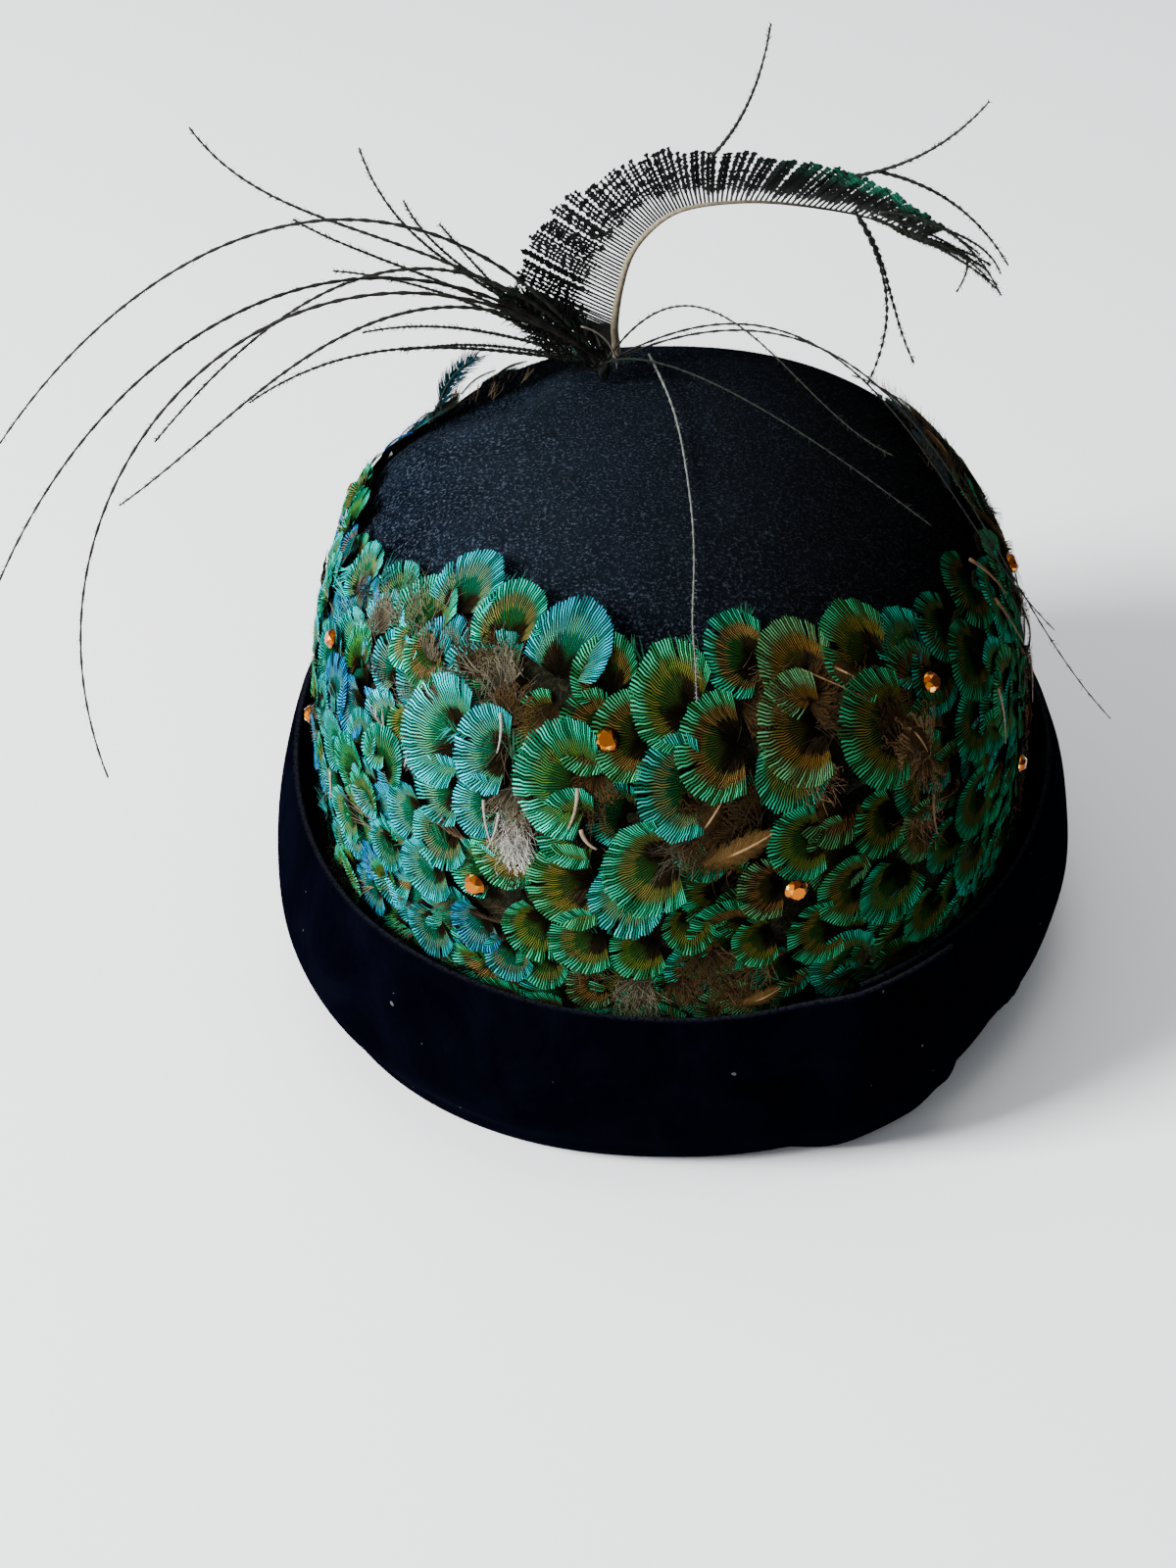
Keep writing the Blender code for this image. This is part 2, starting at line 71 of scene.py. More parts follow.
# the cuff
VELVET = 2.4
CUFF_HEIGHT = 58.0
CUFF_SPREAD = 21.0
LAP_LENGTH = 26.0
LAP_GAP = 1.0
LAP_ANGLE = -50.0
LAP_CORNER = 9.0
CUFF_WALL = (
    # height above the flange, spread at the sides, spread at the back and front, as shares
    (0.00, 0.28, 0.12),
    (0.02, 0.46, 0.30),
    (0.09, 0.63, 0.46),
    (0.19, 0.68, 0.58),
    (0.29, 0.90, 0.70),
    (0.41, 1.00, 0.78),
    (0.56, 0.99, 0.78),
    (0.74, 0.91, 0.71),
    (0.90, 0.80, 0.63),
    (1.00, 0.70, 0.57),
)
CUFF_ROUND = (
    # degrees round from the right, share of the cuff's height, share of its spread
    (-135.0, 0.93, 1.00),
    (-90.0, 0.86, 0.92),
    (-45.0, 0.93, 0.80),
    (0.0, 1.05, 1.12),
    (45.0, 1.02, 1.04),
    (90.0, 0.98, 1.00),
    (135.0, 1.00, 1.00),
    (180.0, 1.03, 0.95),
)

CREASES = (
    # degrees round, share of the height, slant, half length, depth
    (-148.0, 0.30, 2.6, 12.0, 1.2),
    (-128.0, 0.22, 3.0, 10.0, 1.0),
    (-104.0, 0.25, -2.0, 14.0, 0.7),
    (-66.0, 0.35, 1.6, 12.0, 0.6),
    (-30.0, 0.24, -3.0, 12.0, 1.1),
    (10.0, 0.40, 2.0, 14.0, 0.8),
    (70.0, 0.35, -2.0, 14.0, 0.9),
    (120.0, 0.30, 2.4, 12.0, 0.8),
    (165.0, 0.40, -1.6, 14.0, 0.9),
)

# the feather band
BAND_FOOT = 24.0
BAND_EDGE = (
    # degrees round from the right, share of the way to the top
    (-150.0, 0.66),
    (-120.0, 0.70),
    (-90.0, 0.66),
    (-60.0, 0.68),
    (-30.0, 0.64),
    (0.0, 0.64),
    (30.0, 0.62),
    (60.0, 0.62),
    (90.0, 0.64),
    (120.0, 0.63),
    (150.0, 0.60),
    (180.0, 0.60),
)

# the gap that the pieces keep from the felt
CLEARANCE = 0.3

# the plume
KNOT_PLACE = (122.0, 0.80)
QUILL_PLACE = (108.0, 0.79)
SWORD_REACH = 100.0
QUILL = 2.2
SWORD_LINE = (
    # quill right, quill up, comb right, comb up, as shares of the reach
    (0.000, 0.000, -0.020, 0.010),
    (-0.005, 0.050, -0.150, 0.060),
    (-0.008, 0.105, -0.235, 0.105),
    (0.005, 0.205, -0.235, 0.115),
    (0.033, 0.300, -0.195, 0.115),
    (0.085, 0.370, -0.140, 0.125),
    (0.150, 0.415, -0.085, 0.150),
    (0.240, 0.435, -0.010, 0.140),
    (0.360, 0.440, 0.060, 0.110),
    (0.500, 0.425, 0.080, 0.090),
    (0.640, 0.395, 0.070, 0.055),
    (0.800, 0.325, 0.050, 0.030),
    (0.980, 0.215, 0.015, 0.012),
)
SPRAY_REACH = 170.0
KNOT = 9.0
SPRAY = (
    # end right, end forward, end up, sideways and up at one third, sideways and up at two thirds
    (-0.86, -0.16, -0.04, 0.00, 0.27, -0.02, 0.23),
    (-0.86, -0.31, -0.20, -0.04, 0.26, -0.06, 0.22),
    (-0.76, -0.22, -0.61, -0.14, 0.34, -0.20, 0.28),
    (-0.71, -0.10, -0.18, -0.02, 0.17, -0.02, 0.11),
    (-0.50, -0.07, -0.02, 0.00, 0.05, 0.00, 0.06),
    (-0.56, 0.00, 0.38, -0.01, 0.04, -0.03, 0.00),
    (-0.32, 0.00, 0.35, -0.02, 0.00, -0.03, -0.02),
    (-0.27, -0.02, 0.04, 0.00, 0.02, 0.00, 0.02),
    (0.43, -0.36, 0.05, 0.02, 0.14, 0.01, 0.08),
    (0.66, -0.48, -0.16, 0.09, 0.18, 0.06, 0.11),
    (0.75, -0.51, -0.29, 0.11, 0.20, 0.07, 0.12),
    (0.47, -0.50, 0.02, -0.01, 0.07, 0.00, 0.05),
)
WISPS = (
    # row of the sword feather's table, end right, end up, bow sideways, bow up, as shares of its reach
    (7, 0.13, 0.34, 0.02, -0.02),
    (9, 0.33, 0.21, 0.02, -0.03),
    (10, 0.32, -0.20, 0.02, 0.05),
)

# the tuft
TUFT_PLACE = (144.0, 0.60)
TUFT_LENGTH = 22.0
TUFT_WIDTH = 6.0
TUFT_STAND = 2.1
TUFT_STEPS = 40
TUFT_BARBS = 240

# the feathers that show best, each by the middle of its round face
KEY_FANS = (
    # degrees round, share of the way up, radius, tip's turn up from the left, hue, bronze, light (how
    # brightly it is drawn: painted light)
    (-128, 0.54, 12.3, 0, 0.30, 0.2, 1.00),
    (-136, 0.68, 9.5, 80, 0.28, 0.5, 0.85),
    (-124, 0.67, 9.5, 70, 0.45, 0.7, 0.80),
    (-111, 0.66, 11.0, 100, 0.25, 0.2, 0.95),
    (-104, 0.64, 8.5, 60, 0.60, 0.8, 0.55),
    (-120, 0.54, 9.5, 0, 0.28, 0.2, 0.90),
    (-108, 0.53, 12.8, 10, 0.48, 0.2, 0.75),
    (-105, 0.58, 9.0, -10, 0.66, 0.9, 0.45),
    (-99, 0.58, 9.5, 0, 0.68, 0.8, 0.60),
    (-92, 0.62, 11.5, 35, 0.62, 0.5, 0.80),
    (-126, 0.48, 8.5, -5, 0.30, 0.3, 0.85),
    (-132, 0.43, 7.7, -20, 0.26, 0.3, 0.80),
    (-126, 0.42, 8.5, -50, 0.34, 0.6, 0.80),
    (-141, 0.42, 7.7, -10, 0.27, 0.3, 0.75),
    (-120, 0.48, 7.7, -20, 0.27, 0.2, 0.80),
    (-149, 0.53, 7.7, 10, 0.22, 0.3, 0.75),
    (-142, 0.57, 7.2, 10, 0.26, 0.5, 0.75),
    (-140, 0.51, 7.2, 0, 0.27, 0.4, 0.80),
    (-106, 0.48, 9.7, 0, 0.50, 0.3, 0.75),
    (-106, 0.41, 11.5, -10, 0.66, 0.5, 0.85),
    (-95, 0.44, 12.3, -25, 0.52, 0.6, 0.90),
    (-98, 0.40, 10.3, -50, 0.36, 0.4, 0.95),
    (-104, 0.34, 9.7, -20, 0.55, 0.6, 0.75),
    (-96, 0.33, 8.5, -30, 0.62, 0.4, 0.70),
    (-111, 0.34, 9.0, -50, 0.58, 0.4, 0.70),
    (-128, 0.37, 8.5, -40, 0.28, 0.3, 0.80),
    (-136, 0.31, 7.2, -50, 0.25, 0.4, 0.65),
    (-128, 0.28, 7.7, -60, 0.27, 0.4, 0.65),
    (-120, 0.32, 7.7, -50, 0.16, 0.3, 0.65),
    (-115, 0.29, 7.2, -60, 0.30, 0.6, 0.60),
    (-110, 0.29, 7.2, -60, 0.55, 0.5, 0.60),
    (-103, 0.27, 6.9, -20, 0.85, 0.8, 0.55),
    (-80, 0.66, 9.7, 20, 0.50, 0.9, 0.70),
    (-70, 0.64, 10.8, 45, 0.85, 0.6, 0.75),
    (-58, 0.64, 11.0, 40, 0.68, 0.5, 0.65),
    (-85, 0.57, 11.5, -5, 0.64, 0.9, 0.70),
    (-72, 0.58, 12.1, 0, 0.86, 0.5, 0.80),
    (-74, 0.54, 9.7, -60, 0.55, 0.5, 0.70),
    (-59, 0.56, 12.8, 10, 0.66, 0.5, 0.70),
    (-91, 0.53, 11.5, -5, 0.40, 0.6, 0.65),
    (-73, 0.46, 9.5, -10, 0.58, 0.4, 0.70),
    (-61, 0.46, 8.5, -20, 0.66, 0.5, 0.55),
    (-54, 0.43, 8.2, -5, 0.80, 0.8, 0.50),
    (-49, 0.39, 7.7, -20, 0.50, 0.4, 0.40),
    (-78, 0.41, 8.5, 0, 0.88, 1.0, 0.60),
    (-66, 0.39, 9.5, -10, 0.68, 0.7, 0.65),
    (-59, 0.37, 10.3, -55, 0.52, 0.4, 0.55),
    (-79, 0.34, 7.7, -20, 0.66, 0.5, 0.60),
    (-70, 0.34, 9.5, -15, 0.60, 0.7, 0.65),
    (-89, 0.36, 7.2, -70, 0.64, 0.4, 0.60),
    (-29, 0.62, 9.0, 10, 0.62, 0.9, 0.40),
    (-38, 0.57, 9.0, 0, 0.60, 0.7, 0.40),
    (-41, 0.51, 9.0, 0, 0.55, 0.7, 0.40),
    (-43, 0.42, 9.0, -10, 0.58, 0.8, 0.38),
    (-43, 0.35, 8.5, -20, 0.60, 0.8, 0.35),
    (-41, 0.62, 7.7, 20, 0.50, 0.5, 0.45),
    (-52, 0.31, 8.5, -40, 0.62, 0.6, 0.45),
    (176, 0.51, 7.0, 60, 0.06, 0.2, 0.90),
    (-179, 0.47, 6.5, 80, 0.02, 0.2, 0.80),
    (-173, 0.43, 7.0, 60, 0.08, 0.2, 0.90),
    (-168, 0.39, 6.5, 50, 0.10, 0.3, 0.80),
    (170, 0.54, 7.0, 60, 0.10, 0.2, 0.90),
    (163, 0.57, 7.0, 50, 0.06, 0.2, 0.80),
    (-161, 0.60, 7.5, 30, 0.34, 0.5, 0.90),
    (-158, 0.50, 8.0, 20, 0.28, 0.4, 0.90),
    (-153, 0.46, 7.5, 0, 0.20, 0.3, 0.85),
    (-160, 0.42, 7.0, 10, 0.30, 0.6, 0.85),
    (-153, 0.36, 7.5, -20, 0.26, 0.4, 0.85),
    (-161, 0.33, 7.0, -20, 0.16, 0.3, 0.85),
    (-146, 0.33, 7.5, -40, 0.24, 0.5, 0.85),
    (-150, 0.28, 7.0, -50, 0.30, 0.3, 0.80),
    (-141, 0.27, 7.0, -50, 0.20, 0.3, 0.75),
)


def felt_profile():
    """The felt's outer side in section. Up to the swell it is a quarter sine, and above it a superellipse:
    width cos(t)^(2/p), height sin(t)^(2/p). It returns the share of the way up, width, height and the way's
    length."""
    low = np.linspace(0.0, 1.0, 120)
    turn = np.linspace(0.0, math.pi / 2, 240)[1:]
    swell = CROWN_SWELL / OUT_HALF_WIDTH
    power = 2 / SHOULDER_POWER
    wide = np.concatenate([1 + swell * np.sin(low * math.pi / 2), (1 + swell) * np.cos(turn) ** power])
    high_low = CROWN_EDGE + (SWELL_HEIGHT - CROWN_EDGE) * low
    high_top = SWELL_HEIGHT + (CROWN_HEIGHT - SWELL_HEIGHT) * np.sin(turn) ** power
    high = np.concatenate([high_low, high_top])
    run = np.concatenate([[0.0], np.cumsum(np.hypot(np.diff(wide) * OUT_HALF_WIDTH, np.diff(high)))])
    return run / run[-1], wide, high, run[-1]


WAY, WIDE, HIGH, WAY_LENGTH = felt_profile()


def plain_felt(theta, way):
    """The blocked crown before its dent: each level is a superellipse |x/a|^p + |y/b|^p = width^p."""
    theta, way = np.broadcast_arrays(np.asarray(theta, float), np.asarray(way, float))
    wide = np.interp(way, WAY, WIDE)
    across, along = np.cos(theta), np.sin(theta)
    oval = (np.abs(across) ** PLAN_POWER + np.abs(along) ** PLAN_POWER) ** (-1 / PLAN_POWER)
    right = OUT_HALF_WIDTH * wide * oval * across
    back = OUT_HALF_LENGTH * wide * oval * along
    return np.stack([right, back, np.interp(way, WAY, HIGH)], axis=-1)


def unit(vectors):
    """The vectors, each scaled to a length of one."""
    return vectors / np.maximum(np.linalg.norm(vectors, axis=-1, keepdims=True), 1e-9)


DEPTH = (0.0, 1.0, 0.0)


def flat_side(vectors):
    """Unit vectors that are square to these ones and to the hat's depth."""
    return unit(np.cross(vectors, DEPTH))


def felt_normal(theta, way):
    """The cross product of a small step round the hat and a small step up it."""
    way = np.clip(way, 0.004, 0.985)
    round_hat = plain_felt(theta + 0.01, way) - plain_felt(theta - 0.01, way)
    up_hat = plain_felt(theta, way + 0.004) - plain_felt(theta, way - 0.004)
    return unit(np.cross(round_hat, up_hat))


def dent_at(points):
    """A bell-shaped hollow on the upper left, with a ridge in a ring round its near side."""
    middle = np.array([DENT_PLACE[0] * OUT_HALF_WIDTH, DENT_PLACE[1] * OUT_HALF_LENGTH])
    away = (points[..., :2] - middle) / DENT_REACH
    far = np.hypot(away[..., 0], away[..., 1])
    high = np.clip((points[..., 2] / CROWN_HEIGHT - 0.6) / 0.25, 0.0, 1.0)
    near = np.clip(0.5 + 0.5 * (0.45 * away[..., 0] - 0.9 * away[..., 1]) / (far + 0.2), 0.0, 1.0) ** 2
    hollow = -DENT_DEPTH * np.exp(-1.6 * far**2)
    ridge = RIDGE_RISE * near * np.exp(-(((far - 1.1) / 0.32) ** 2))
    return (hollow + ridge) * high


def felt(theta, way, lift=0.0):
    """Points on the crown's outer side, or lifted from it along its normal."""
    theta, way = np.broadcast_arrays(np.asarray(theta, float), np.asarray(way, float))
    points = plain_felt(theta, way)
    return points + felt_normal(theta, way) * (dent_at(points) + lift)[..., None]


def half_turns(degrees):
    """The same angles between -180 and 180 degrees."""
    return (degrees + 180.0) % 360.0 - 180.0


def read_round(table, degrees, column=1):
    """A table's column eased from row to row round the hat: s*s*(3 - 2s) of each gap."""
    rows = np.array(sorted(table), float)
    angles = np.concatenate([rows[-1:, 0] - 360.0, rows[:, 0], rows[:1, 0] + 360.0])
    values = np.concatenate([rows[-1:, column], rows[:, column], rows[:1, column]])
    degrees = half_turns(np.asarray(degrees, float))
    place = np.clip(np.searchsorted(angles, degrees, side="right") - 1, 0, len(angles) - 2)
    share = (degrees - angles[place]) / (angles[place + 1] - angles[place])
    return values[place] + (values[place + 1] - values[place]) * share * share * (3 - 2 * share)


def read_along(table, shares):
    """A table's rows read along it by a cubic through each row (Catmull-Rom), for an array of shares."""
    rows = np.array(table, float)
    place = np.asarray(shares, float) * (len(rows) - 1)
    row = np.clip(place.astype(int), 0, len(rows) - 2)
    t = (place - row)[..., None]
    before, here = rows[np.maximum(row - 1, 0)], rows[row]
    there, after = rows[row + 1], rows[np.minimum(row + 2, len(rows) - 1)]
    bend = (2 * before - 5 * here + 4 * there - after) * t**2
    return 0.5 * (2 * here + (there - before) * t + bend + (3 * here - before - 3 * there + after) * t**3)


def new_object(name, data):
    """An object for a mesh, a camera or a light, put in the scene."""
    made = bpy.data.objects.new(name, data)
    bpy.context.scene.collection.objects.link(made)
    return made


def put_mesh(
    name, points, faces, material, stands_for=(), uv=None, tint=None, smooth=True, sharp=None
):
    """A mesh piece from whole arrays: points in millimetres, and one array of corner numbers for each kind
    of face. uv and tint hold a pair and a colour for each point."""
    points = np.asarray(points, float).reshape(-1, 3) * MM
    faces = [np.asarray(kind, int) for kind in faces if len(kind)]
    loops = np.concatenate([kind.ravel() for kind in faces])
    sizes = np.concatenate([np.full(len(kind), kind.shape[1]) for kind in faces])
    mesh = bpy.data.meshes.new(name)
    mesh.vertices.add(len(points))
    mesh.vertices.foreach_set("co", points.ravel())
    mesh.loops.add(len(loops))
    mesh.loops.foreach_set("vertex_index", loops)
    mesh.polygons.add(len(sizes))
    mesh.polygons.foreach_set("loop_start", np.concatenate([[0], np.cumsum(sizes)[:-1]]))
    mesh.update(calc_edges=True)
    if uv is not None:
        layer = mesh.uv_layers.new(name="weave")
        layer.data.foreach_set("uv", np.asarray(uv, float).reshape(-1, 2)[loops].ravel())
    if tint is not None:
        layer = mesh.color_attributes.new("tint", "FLOAT_COLOR", "POINT")
        layer.data.foreach_set("color", np.asarray(tint, float).reshape(-1, 4).ravel())
    if smooth:
        mesh.shade_smooth()
    if sharp is not None:
        mesh.set_sharp_from_angle(angle=math.radians(sharp))
    mesh.materials.append(material)
    piece = new_object(name, mesh)
    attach(piece, "root")
    if stands_for:
        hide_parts(*stands_for)


def grid_quads(copies, rows, columns, closed=False):
    """The quads of several grids of points, each closed round its columns or left open."""
    across = np.arange(columns if closed else columns - 1)
    down, across = np.meshgrid(np.arange(rows - 1), across, indexing="ij")
    here, beside = down * columns + across, down * columns + (across + 1) % columns
    quads = np.stack([here, beside, beside + columns, here + columns], axis=-1).reshape(-1, 4)
    return (quads[None] + (np.arange(copies) * rows * columns)[:, None, None]).reshape(-1, 4)


def turned_out(points, quads, triangles):
    """The faces of a closed skin, turned round if the volume that they enclose comes out negative."""
    fans = np.concatenate([quads[:, [0, 1, 2]], quads[:, [0, 2, 3]], triangles])
    corners = points[fans]
    volume = np.einsum("ij,ij->i", corners[:, 0], np.cross(corners[:, 1], corners[:, 2])).sum()
    return (quads, triangles) if volume > 0 else (quads[:, ::-1], triangles[:, ::-1])


def closed_skin(rings, first=None, last=None):
    """Points and faces of a skin over rings that close on themselves, with a point at each end. Without
    points the last ring meets the first."""
    rows, columns = rings.shape[:2]
    points = rings.reshape(-1, 3)
    quads = grid_quads(1, rows, columns, closed=True)
    turn = np.arange(columns)
    if first is None:
        here, ahead = (rows - 1) * columns + turn, (rows - 1) * columns + (turn + 1) % columns
        join = np.stack([here, ahead, (turn + 1) % columns, turn], axis=-1)
        return points, *turned_out(points, np.concatenate([quads, join]), np.zeros((0, 3), int))
    points = np.concatenate([points, [first], [last]])
    low, high = len(points) - 2, len(points) - 1
    base = (rows - 1) * columns
    start = np.stack([(turn + 1) % columns, turn, np.full(columns, low)], axis=-1)
    end = np.stack([base + turn, base + (turn + 1) % columns, np.full(columns, high)], axis=-1)
    return points, *turned_out(points, quads, np.concatenate([start, end]))


def tubes(lines, radii, sides=4, ahead=DEPTH):
    """Closed tubes round lines of points, with a radius for each point: p + r (cos a * side + sin a * up),
    where side is square to the line and to one fixed direction. lines is (tubes, steps, 3)."""
    lines = np.asarray(lines, float)
    count, steps = lines.shape[:2]
    run = unit(np.gradient(lines, axis=1))
    side = unit(np.cross(run, ahead) + np.array([1e-6, 0.0, 0.0]))
    up = np.cross(run, side)
    turns = np.arange(sides) * 2 * math.pi / sides
    ring = np.cos(turns)[:, None] * side[:, :, None] + np.sin(turns)[:, None] * up[:, :, None]
    points = lines[:, :, None] + np.asarray(radii, float)[..., None, None] * ring
    quads = grid_quads(count, steps, sides, closed=True)
    tube = steps * sides * np.arange(count)[:, None]
    first = tube + np.arange(sides)[::-1]
    last = tube + (steps - 1) * sides + np.arange(sides)
    along = np.broadcast_to(np.linspace(0, 1, steps)[None, :, None], points.shape[:3])
    around = np.broadcast_to((np.arange(sides) / sides)[None, None], points.shape[:3])
    uv = np.stack([around, along], axis=-1)
    faces = [quads[:, ::-1], first[:, ::-1], last[:, ::-1]]
    return points.reshape(-1, 3), faces, uv.reshape(-1, 2)


def ribbons(lines, widths, sides):
    """Flat ribbons along lines of points: p - w/2 side and p + w/2 side. Their uv is (across, along)."""
    lines, widths = np.asarray(lines, float), np.asarray(widths, float)[..., None]
    count, steps = lines.shape[:2]
    sides = np.broadcast_to(sides, lines.shape)
    points = np.stack([lines - sides * widths / 2, lines + sides * widths / 2], axis=2)
    along = np.broadcast_to(np.linspace(0, 1, steps)[None, :, None], points.shape[:3])
    across = np.broadcast_to(np.array([0.0, 1.0]), points.shape[:3])
    uv = np.stack([across, along], axis=-1)
    return points.reshape(-1, 3), grid_quads(count, steps, 2), uv.reshape(-1, 2)


def join(parts):
    """Several sets of points, faces, uv and tint as one. Each set is (points, list of faces, uv, tint)."""
    start, points, faces, uvs, tints = 0, [], {}, [], []
    for part_points, part_faces, uv, tint in parts:
        for kind in part_faces:
            if len(kind):
                faces.setdefault(kind.shape[1], []).append(kind + start)
        start += len(part_points)
        points.append(part_points)
        uvs.append(uv)
        tints.append(np.broadcast_to(tint, (len(part_points), 4)))
    faces = [np.concatenate(kinds) for kinds in faces.values()]
    return np.concatenate(points), faces, np.concatenate(uvs), np.concatenate(tints)


class Wire:
    """One value in a finish's network. Expressions on values add Math nodes; node() on the finish adds any
    other."""

    def __init__(self, finish, socket):
        self.finish, self.socket = finish, socket

    def math(self, operation, *others):
        values = dict(enumerate((self, *others)))
        return self.finish.node("ShaderNodeMath", {"operation": operation}, values)

    def swapped(self, operation, other):
        return self.finish.node("ShaderNodeMath", {"operation": operation}, {0: other, 1: self})

    def __add__(self, other):
        return self.math("ADD", other)

    __radd__ = __add__

    def __mul__(self, other):
        return self.math("MULTIPLY", other)

    __rmul__ = __mul__

    def __sub__(self, other):
        return self.math("SUBTRACT", other)

    def __rsub__(self, other):
        return self.swapped("SUBTRACT", other)

    def __pow__(self, other):
        return self.math("POWER", other)

    def above(self, other):
        return self.math("GREATER_THAN", other)

    def size(self):
        return self.math("ABSOLUTE")

    def ridge(self):
        """1 in the middle of each whole step and 0 at its ends."""
        return 1 - (self.math("FRACT") - 0.5).size() * 2

    def between(self, low, high):
        """0 below low and 1 above high, eased in between."""
        values = {"Value": self, "From Min": low, "From Max": high}
        return self.finish.node("ShaderNodeMapRange", {"interpolation_type": "SMOOTHSTEP"}, values)


class Finish:
    """A material and its network. node() takes a node's type, its settings, which go in first, and the
    values or links of its sockets."""

    def __init__(self, name, **constants):
        self.material = bpy.data.materials.new(name)
        self.material.use_nodes = True
        self.tree = self.material.node_tree
        self.shader = self.tree.nodes["Principled BSDF"]
        for socket, value in constants.items():
            self.shader.inputs[socket.replace("_", " ")].default_value = value
        self.place = self.node("ShaderNodeTexCoord", out="Object")

    def node(self, kind, settings=None, values=None, out=0):
        made = self.tree.nodes.new(kind)
        for key, value in (settings or {}).items():
            if key == "stops":
                ramp = made.color_ramp.elements
                while len(ramp) < len(value):
                    ramp.new(0.5)
                for stop, (place, colour) in zip(ramp, value):
                    stop.position = place
                    stop.color = (*colour, 1.0)
            else:
                setattr(made, key, value)
        for key, value in (values or {}).items():
            self.feed(made.inputs[key], value)
        return Wire(self, made.outputs[out])

    def feed(self, socket, value):
        if isinstance(value, Wire):
            self.tree.links.new(value.socket, socket)
        elif isinstance(value, tuple) and len(value) == 3 and len(getattr(socket, "default_value", ())) == 4:
            socket.default_value = (*value, 1.0)
        else:
            socket.default_value = value

    def set(self, **sockets):
        for name, value in sockets.items():
            self.feed(self.shader.inputs[name.replace("_", " ")], value)
        return self.material

    def noise(self, scale, detail=2.0, roughness=0.5, place=None, distortion=0.0):
        """Noise of about one feature for each 1/scale of the coordinates, from 0 to 1."""
        values = {"Vector": place or self.place, "Scale": scale, "Detail": detail, "Roughness": roughness}
        values["Distortion"] = distortion
        return self.node("ShaderNodeTexNoise", None, values)

    def mix(self, share, first, second):
        """The first colour where share is 0 and the second where it is 1."""
        return self.node("ShaderNodeMix", {"data_type": "RGBA"}, {0: share, 6: first, 7: second}, out=2)

    def ramp(self, share, *stops):
        return self.node("ShaderNodeValToRGB", {"stops": stops}, {"Fac": share})

    def bump(self, height, strength, distance):
        """The normal of a relief whose height runs from 0 to 1 over a distance in millimetres."""
        values = {"Height": height, "Strength": strength, "Distance": distance * MM}
        return self.node("ShaderNodeBump", None, values, out="Normal")

    def tints(self):
        """The four values that each point of the piece carries."""
        colour = self.node("ShaderNodeAttribute", {"attribute_name": "tint"}, out="Color")
        split = self.node("ShaderNodeSeparateColor", None, {"Color": colour}, out="Red")
        green = Wire(self, split.socket.node.outputs["Green"])
        blue = Wire(self, split.socket.node.outputs["Blue"])
        alpha = Wire(self, colour.socket.node.outputs["Alpha"])
        return split, green, blue, alpha

    def carried_colour(self):
        """The colour that each point carries, its red and blue, and the point's fourth value."""
        red, green, blue, seed = self.tints()
        colour = self.node("ShaderNodeCombineColor", None, {"Red": red, "Green": green, "Blue": blue})
        return colour, red, blue, seed

    def own(self, number, seed):
        """A chance value from 0 to 1 for each whole number and seed."""
        place = self.vector(number, seed)
        return self.node("ShaderNodeTexWhiteNoise", {"noise_dimensions": "2D"}, {"Vector": place})

    def surface(self):
        """The two coordinates of the piece's own map."""
        where = self.node("ShaderNodeTexCoord", out="UV")
        split = self.node("ShaderNodeSeparateXYZ", None, {"Vector": where}, out="X")
        return split, Wire(self, split.socket.node.outputs["Y"])

    def vector(self, x, y, z=0.0):
        return self.node("ShaderNodeCombineXYZ", None, {"X": x, "Y": y, "Z": z})


def felt_finish():
    """Black velour felt: a blue-black nap, finely speckled with paler fibre ends. It is painted darker on
    the right and in the hollow at the front left, as painted shade, and lighter on its top, as a painted
    highlight."""
    look = Finish("felt_black_nap", Roughness=1.0, Specular_IOR_Level=0.0)
    speckle = look.noise(1250.0, 2.0, 0.7)
    cloud = look.noise(55.0, 4.0, 0.6)
    fibres = look.noise(420.0, 5.0, 0.8, distortion=1.5)
    ends = speckle.between(0.52, 0.70) * fibres.between(0.30, 0.54)
    across = look.node("ShaderNodeSeparateXYZ", None, {"Vector": look.place}, out="X")
    high = Wire(look, across.socket.node.outputs["Z"])
    dark = look.mix(cloud.between(0.3, 0.7), (0.0008, 0.0014, 0.0026), (0.0026, 0.0044, 0.0076))
    # painted highlight: lighter on the top of the crown, where the light falls
    dark = look.mix(high.between(0.130, 0.142) * 0.5, dark, (0.008, 0.011, 0.015))
    colour = look.mix(ends, dark, (0.036, 0.047, 0.066))
    # painted shade: darker towards the right of the hat, where less light falls
    colour = look.mix(across.between(-0.062, 0.052) * 0.88, colour, (0.0010, 0.0008, 0.0006))
    # painted shade: near black in the hollow beyond the ridge at the front left
    sides = {0: look.place, 1: HOLLOW_SHADE_SIDE}
    beyond = look.node("ShaderNodeVectorMath", {"operation": "DOT_PRODUCT"}, sides, out="Value")
    hollow = beyond.between(HOLLOW_SHADE_START, HOLLOW_SHADE_START + HOLLOW_SHADE_EDGE)
    colour = look.mix(hollow * 0.95, colour, (0.0004, 0.0005, 0.0006))
    return look.set(Base_Color=colour, Normal=look.bump(fibres * 0.6 + speckle * 0.4, 0.9, 0.9))


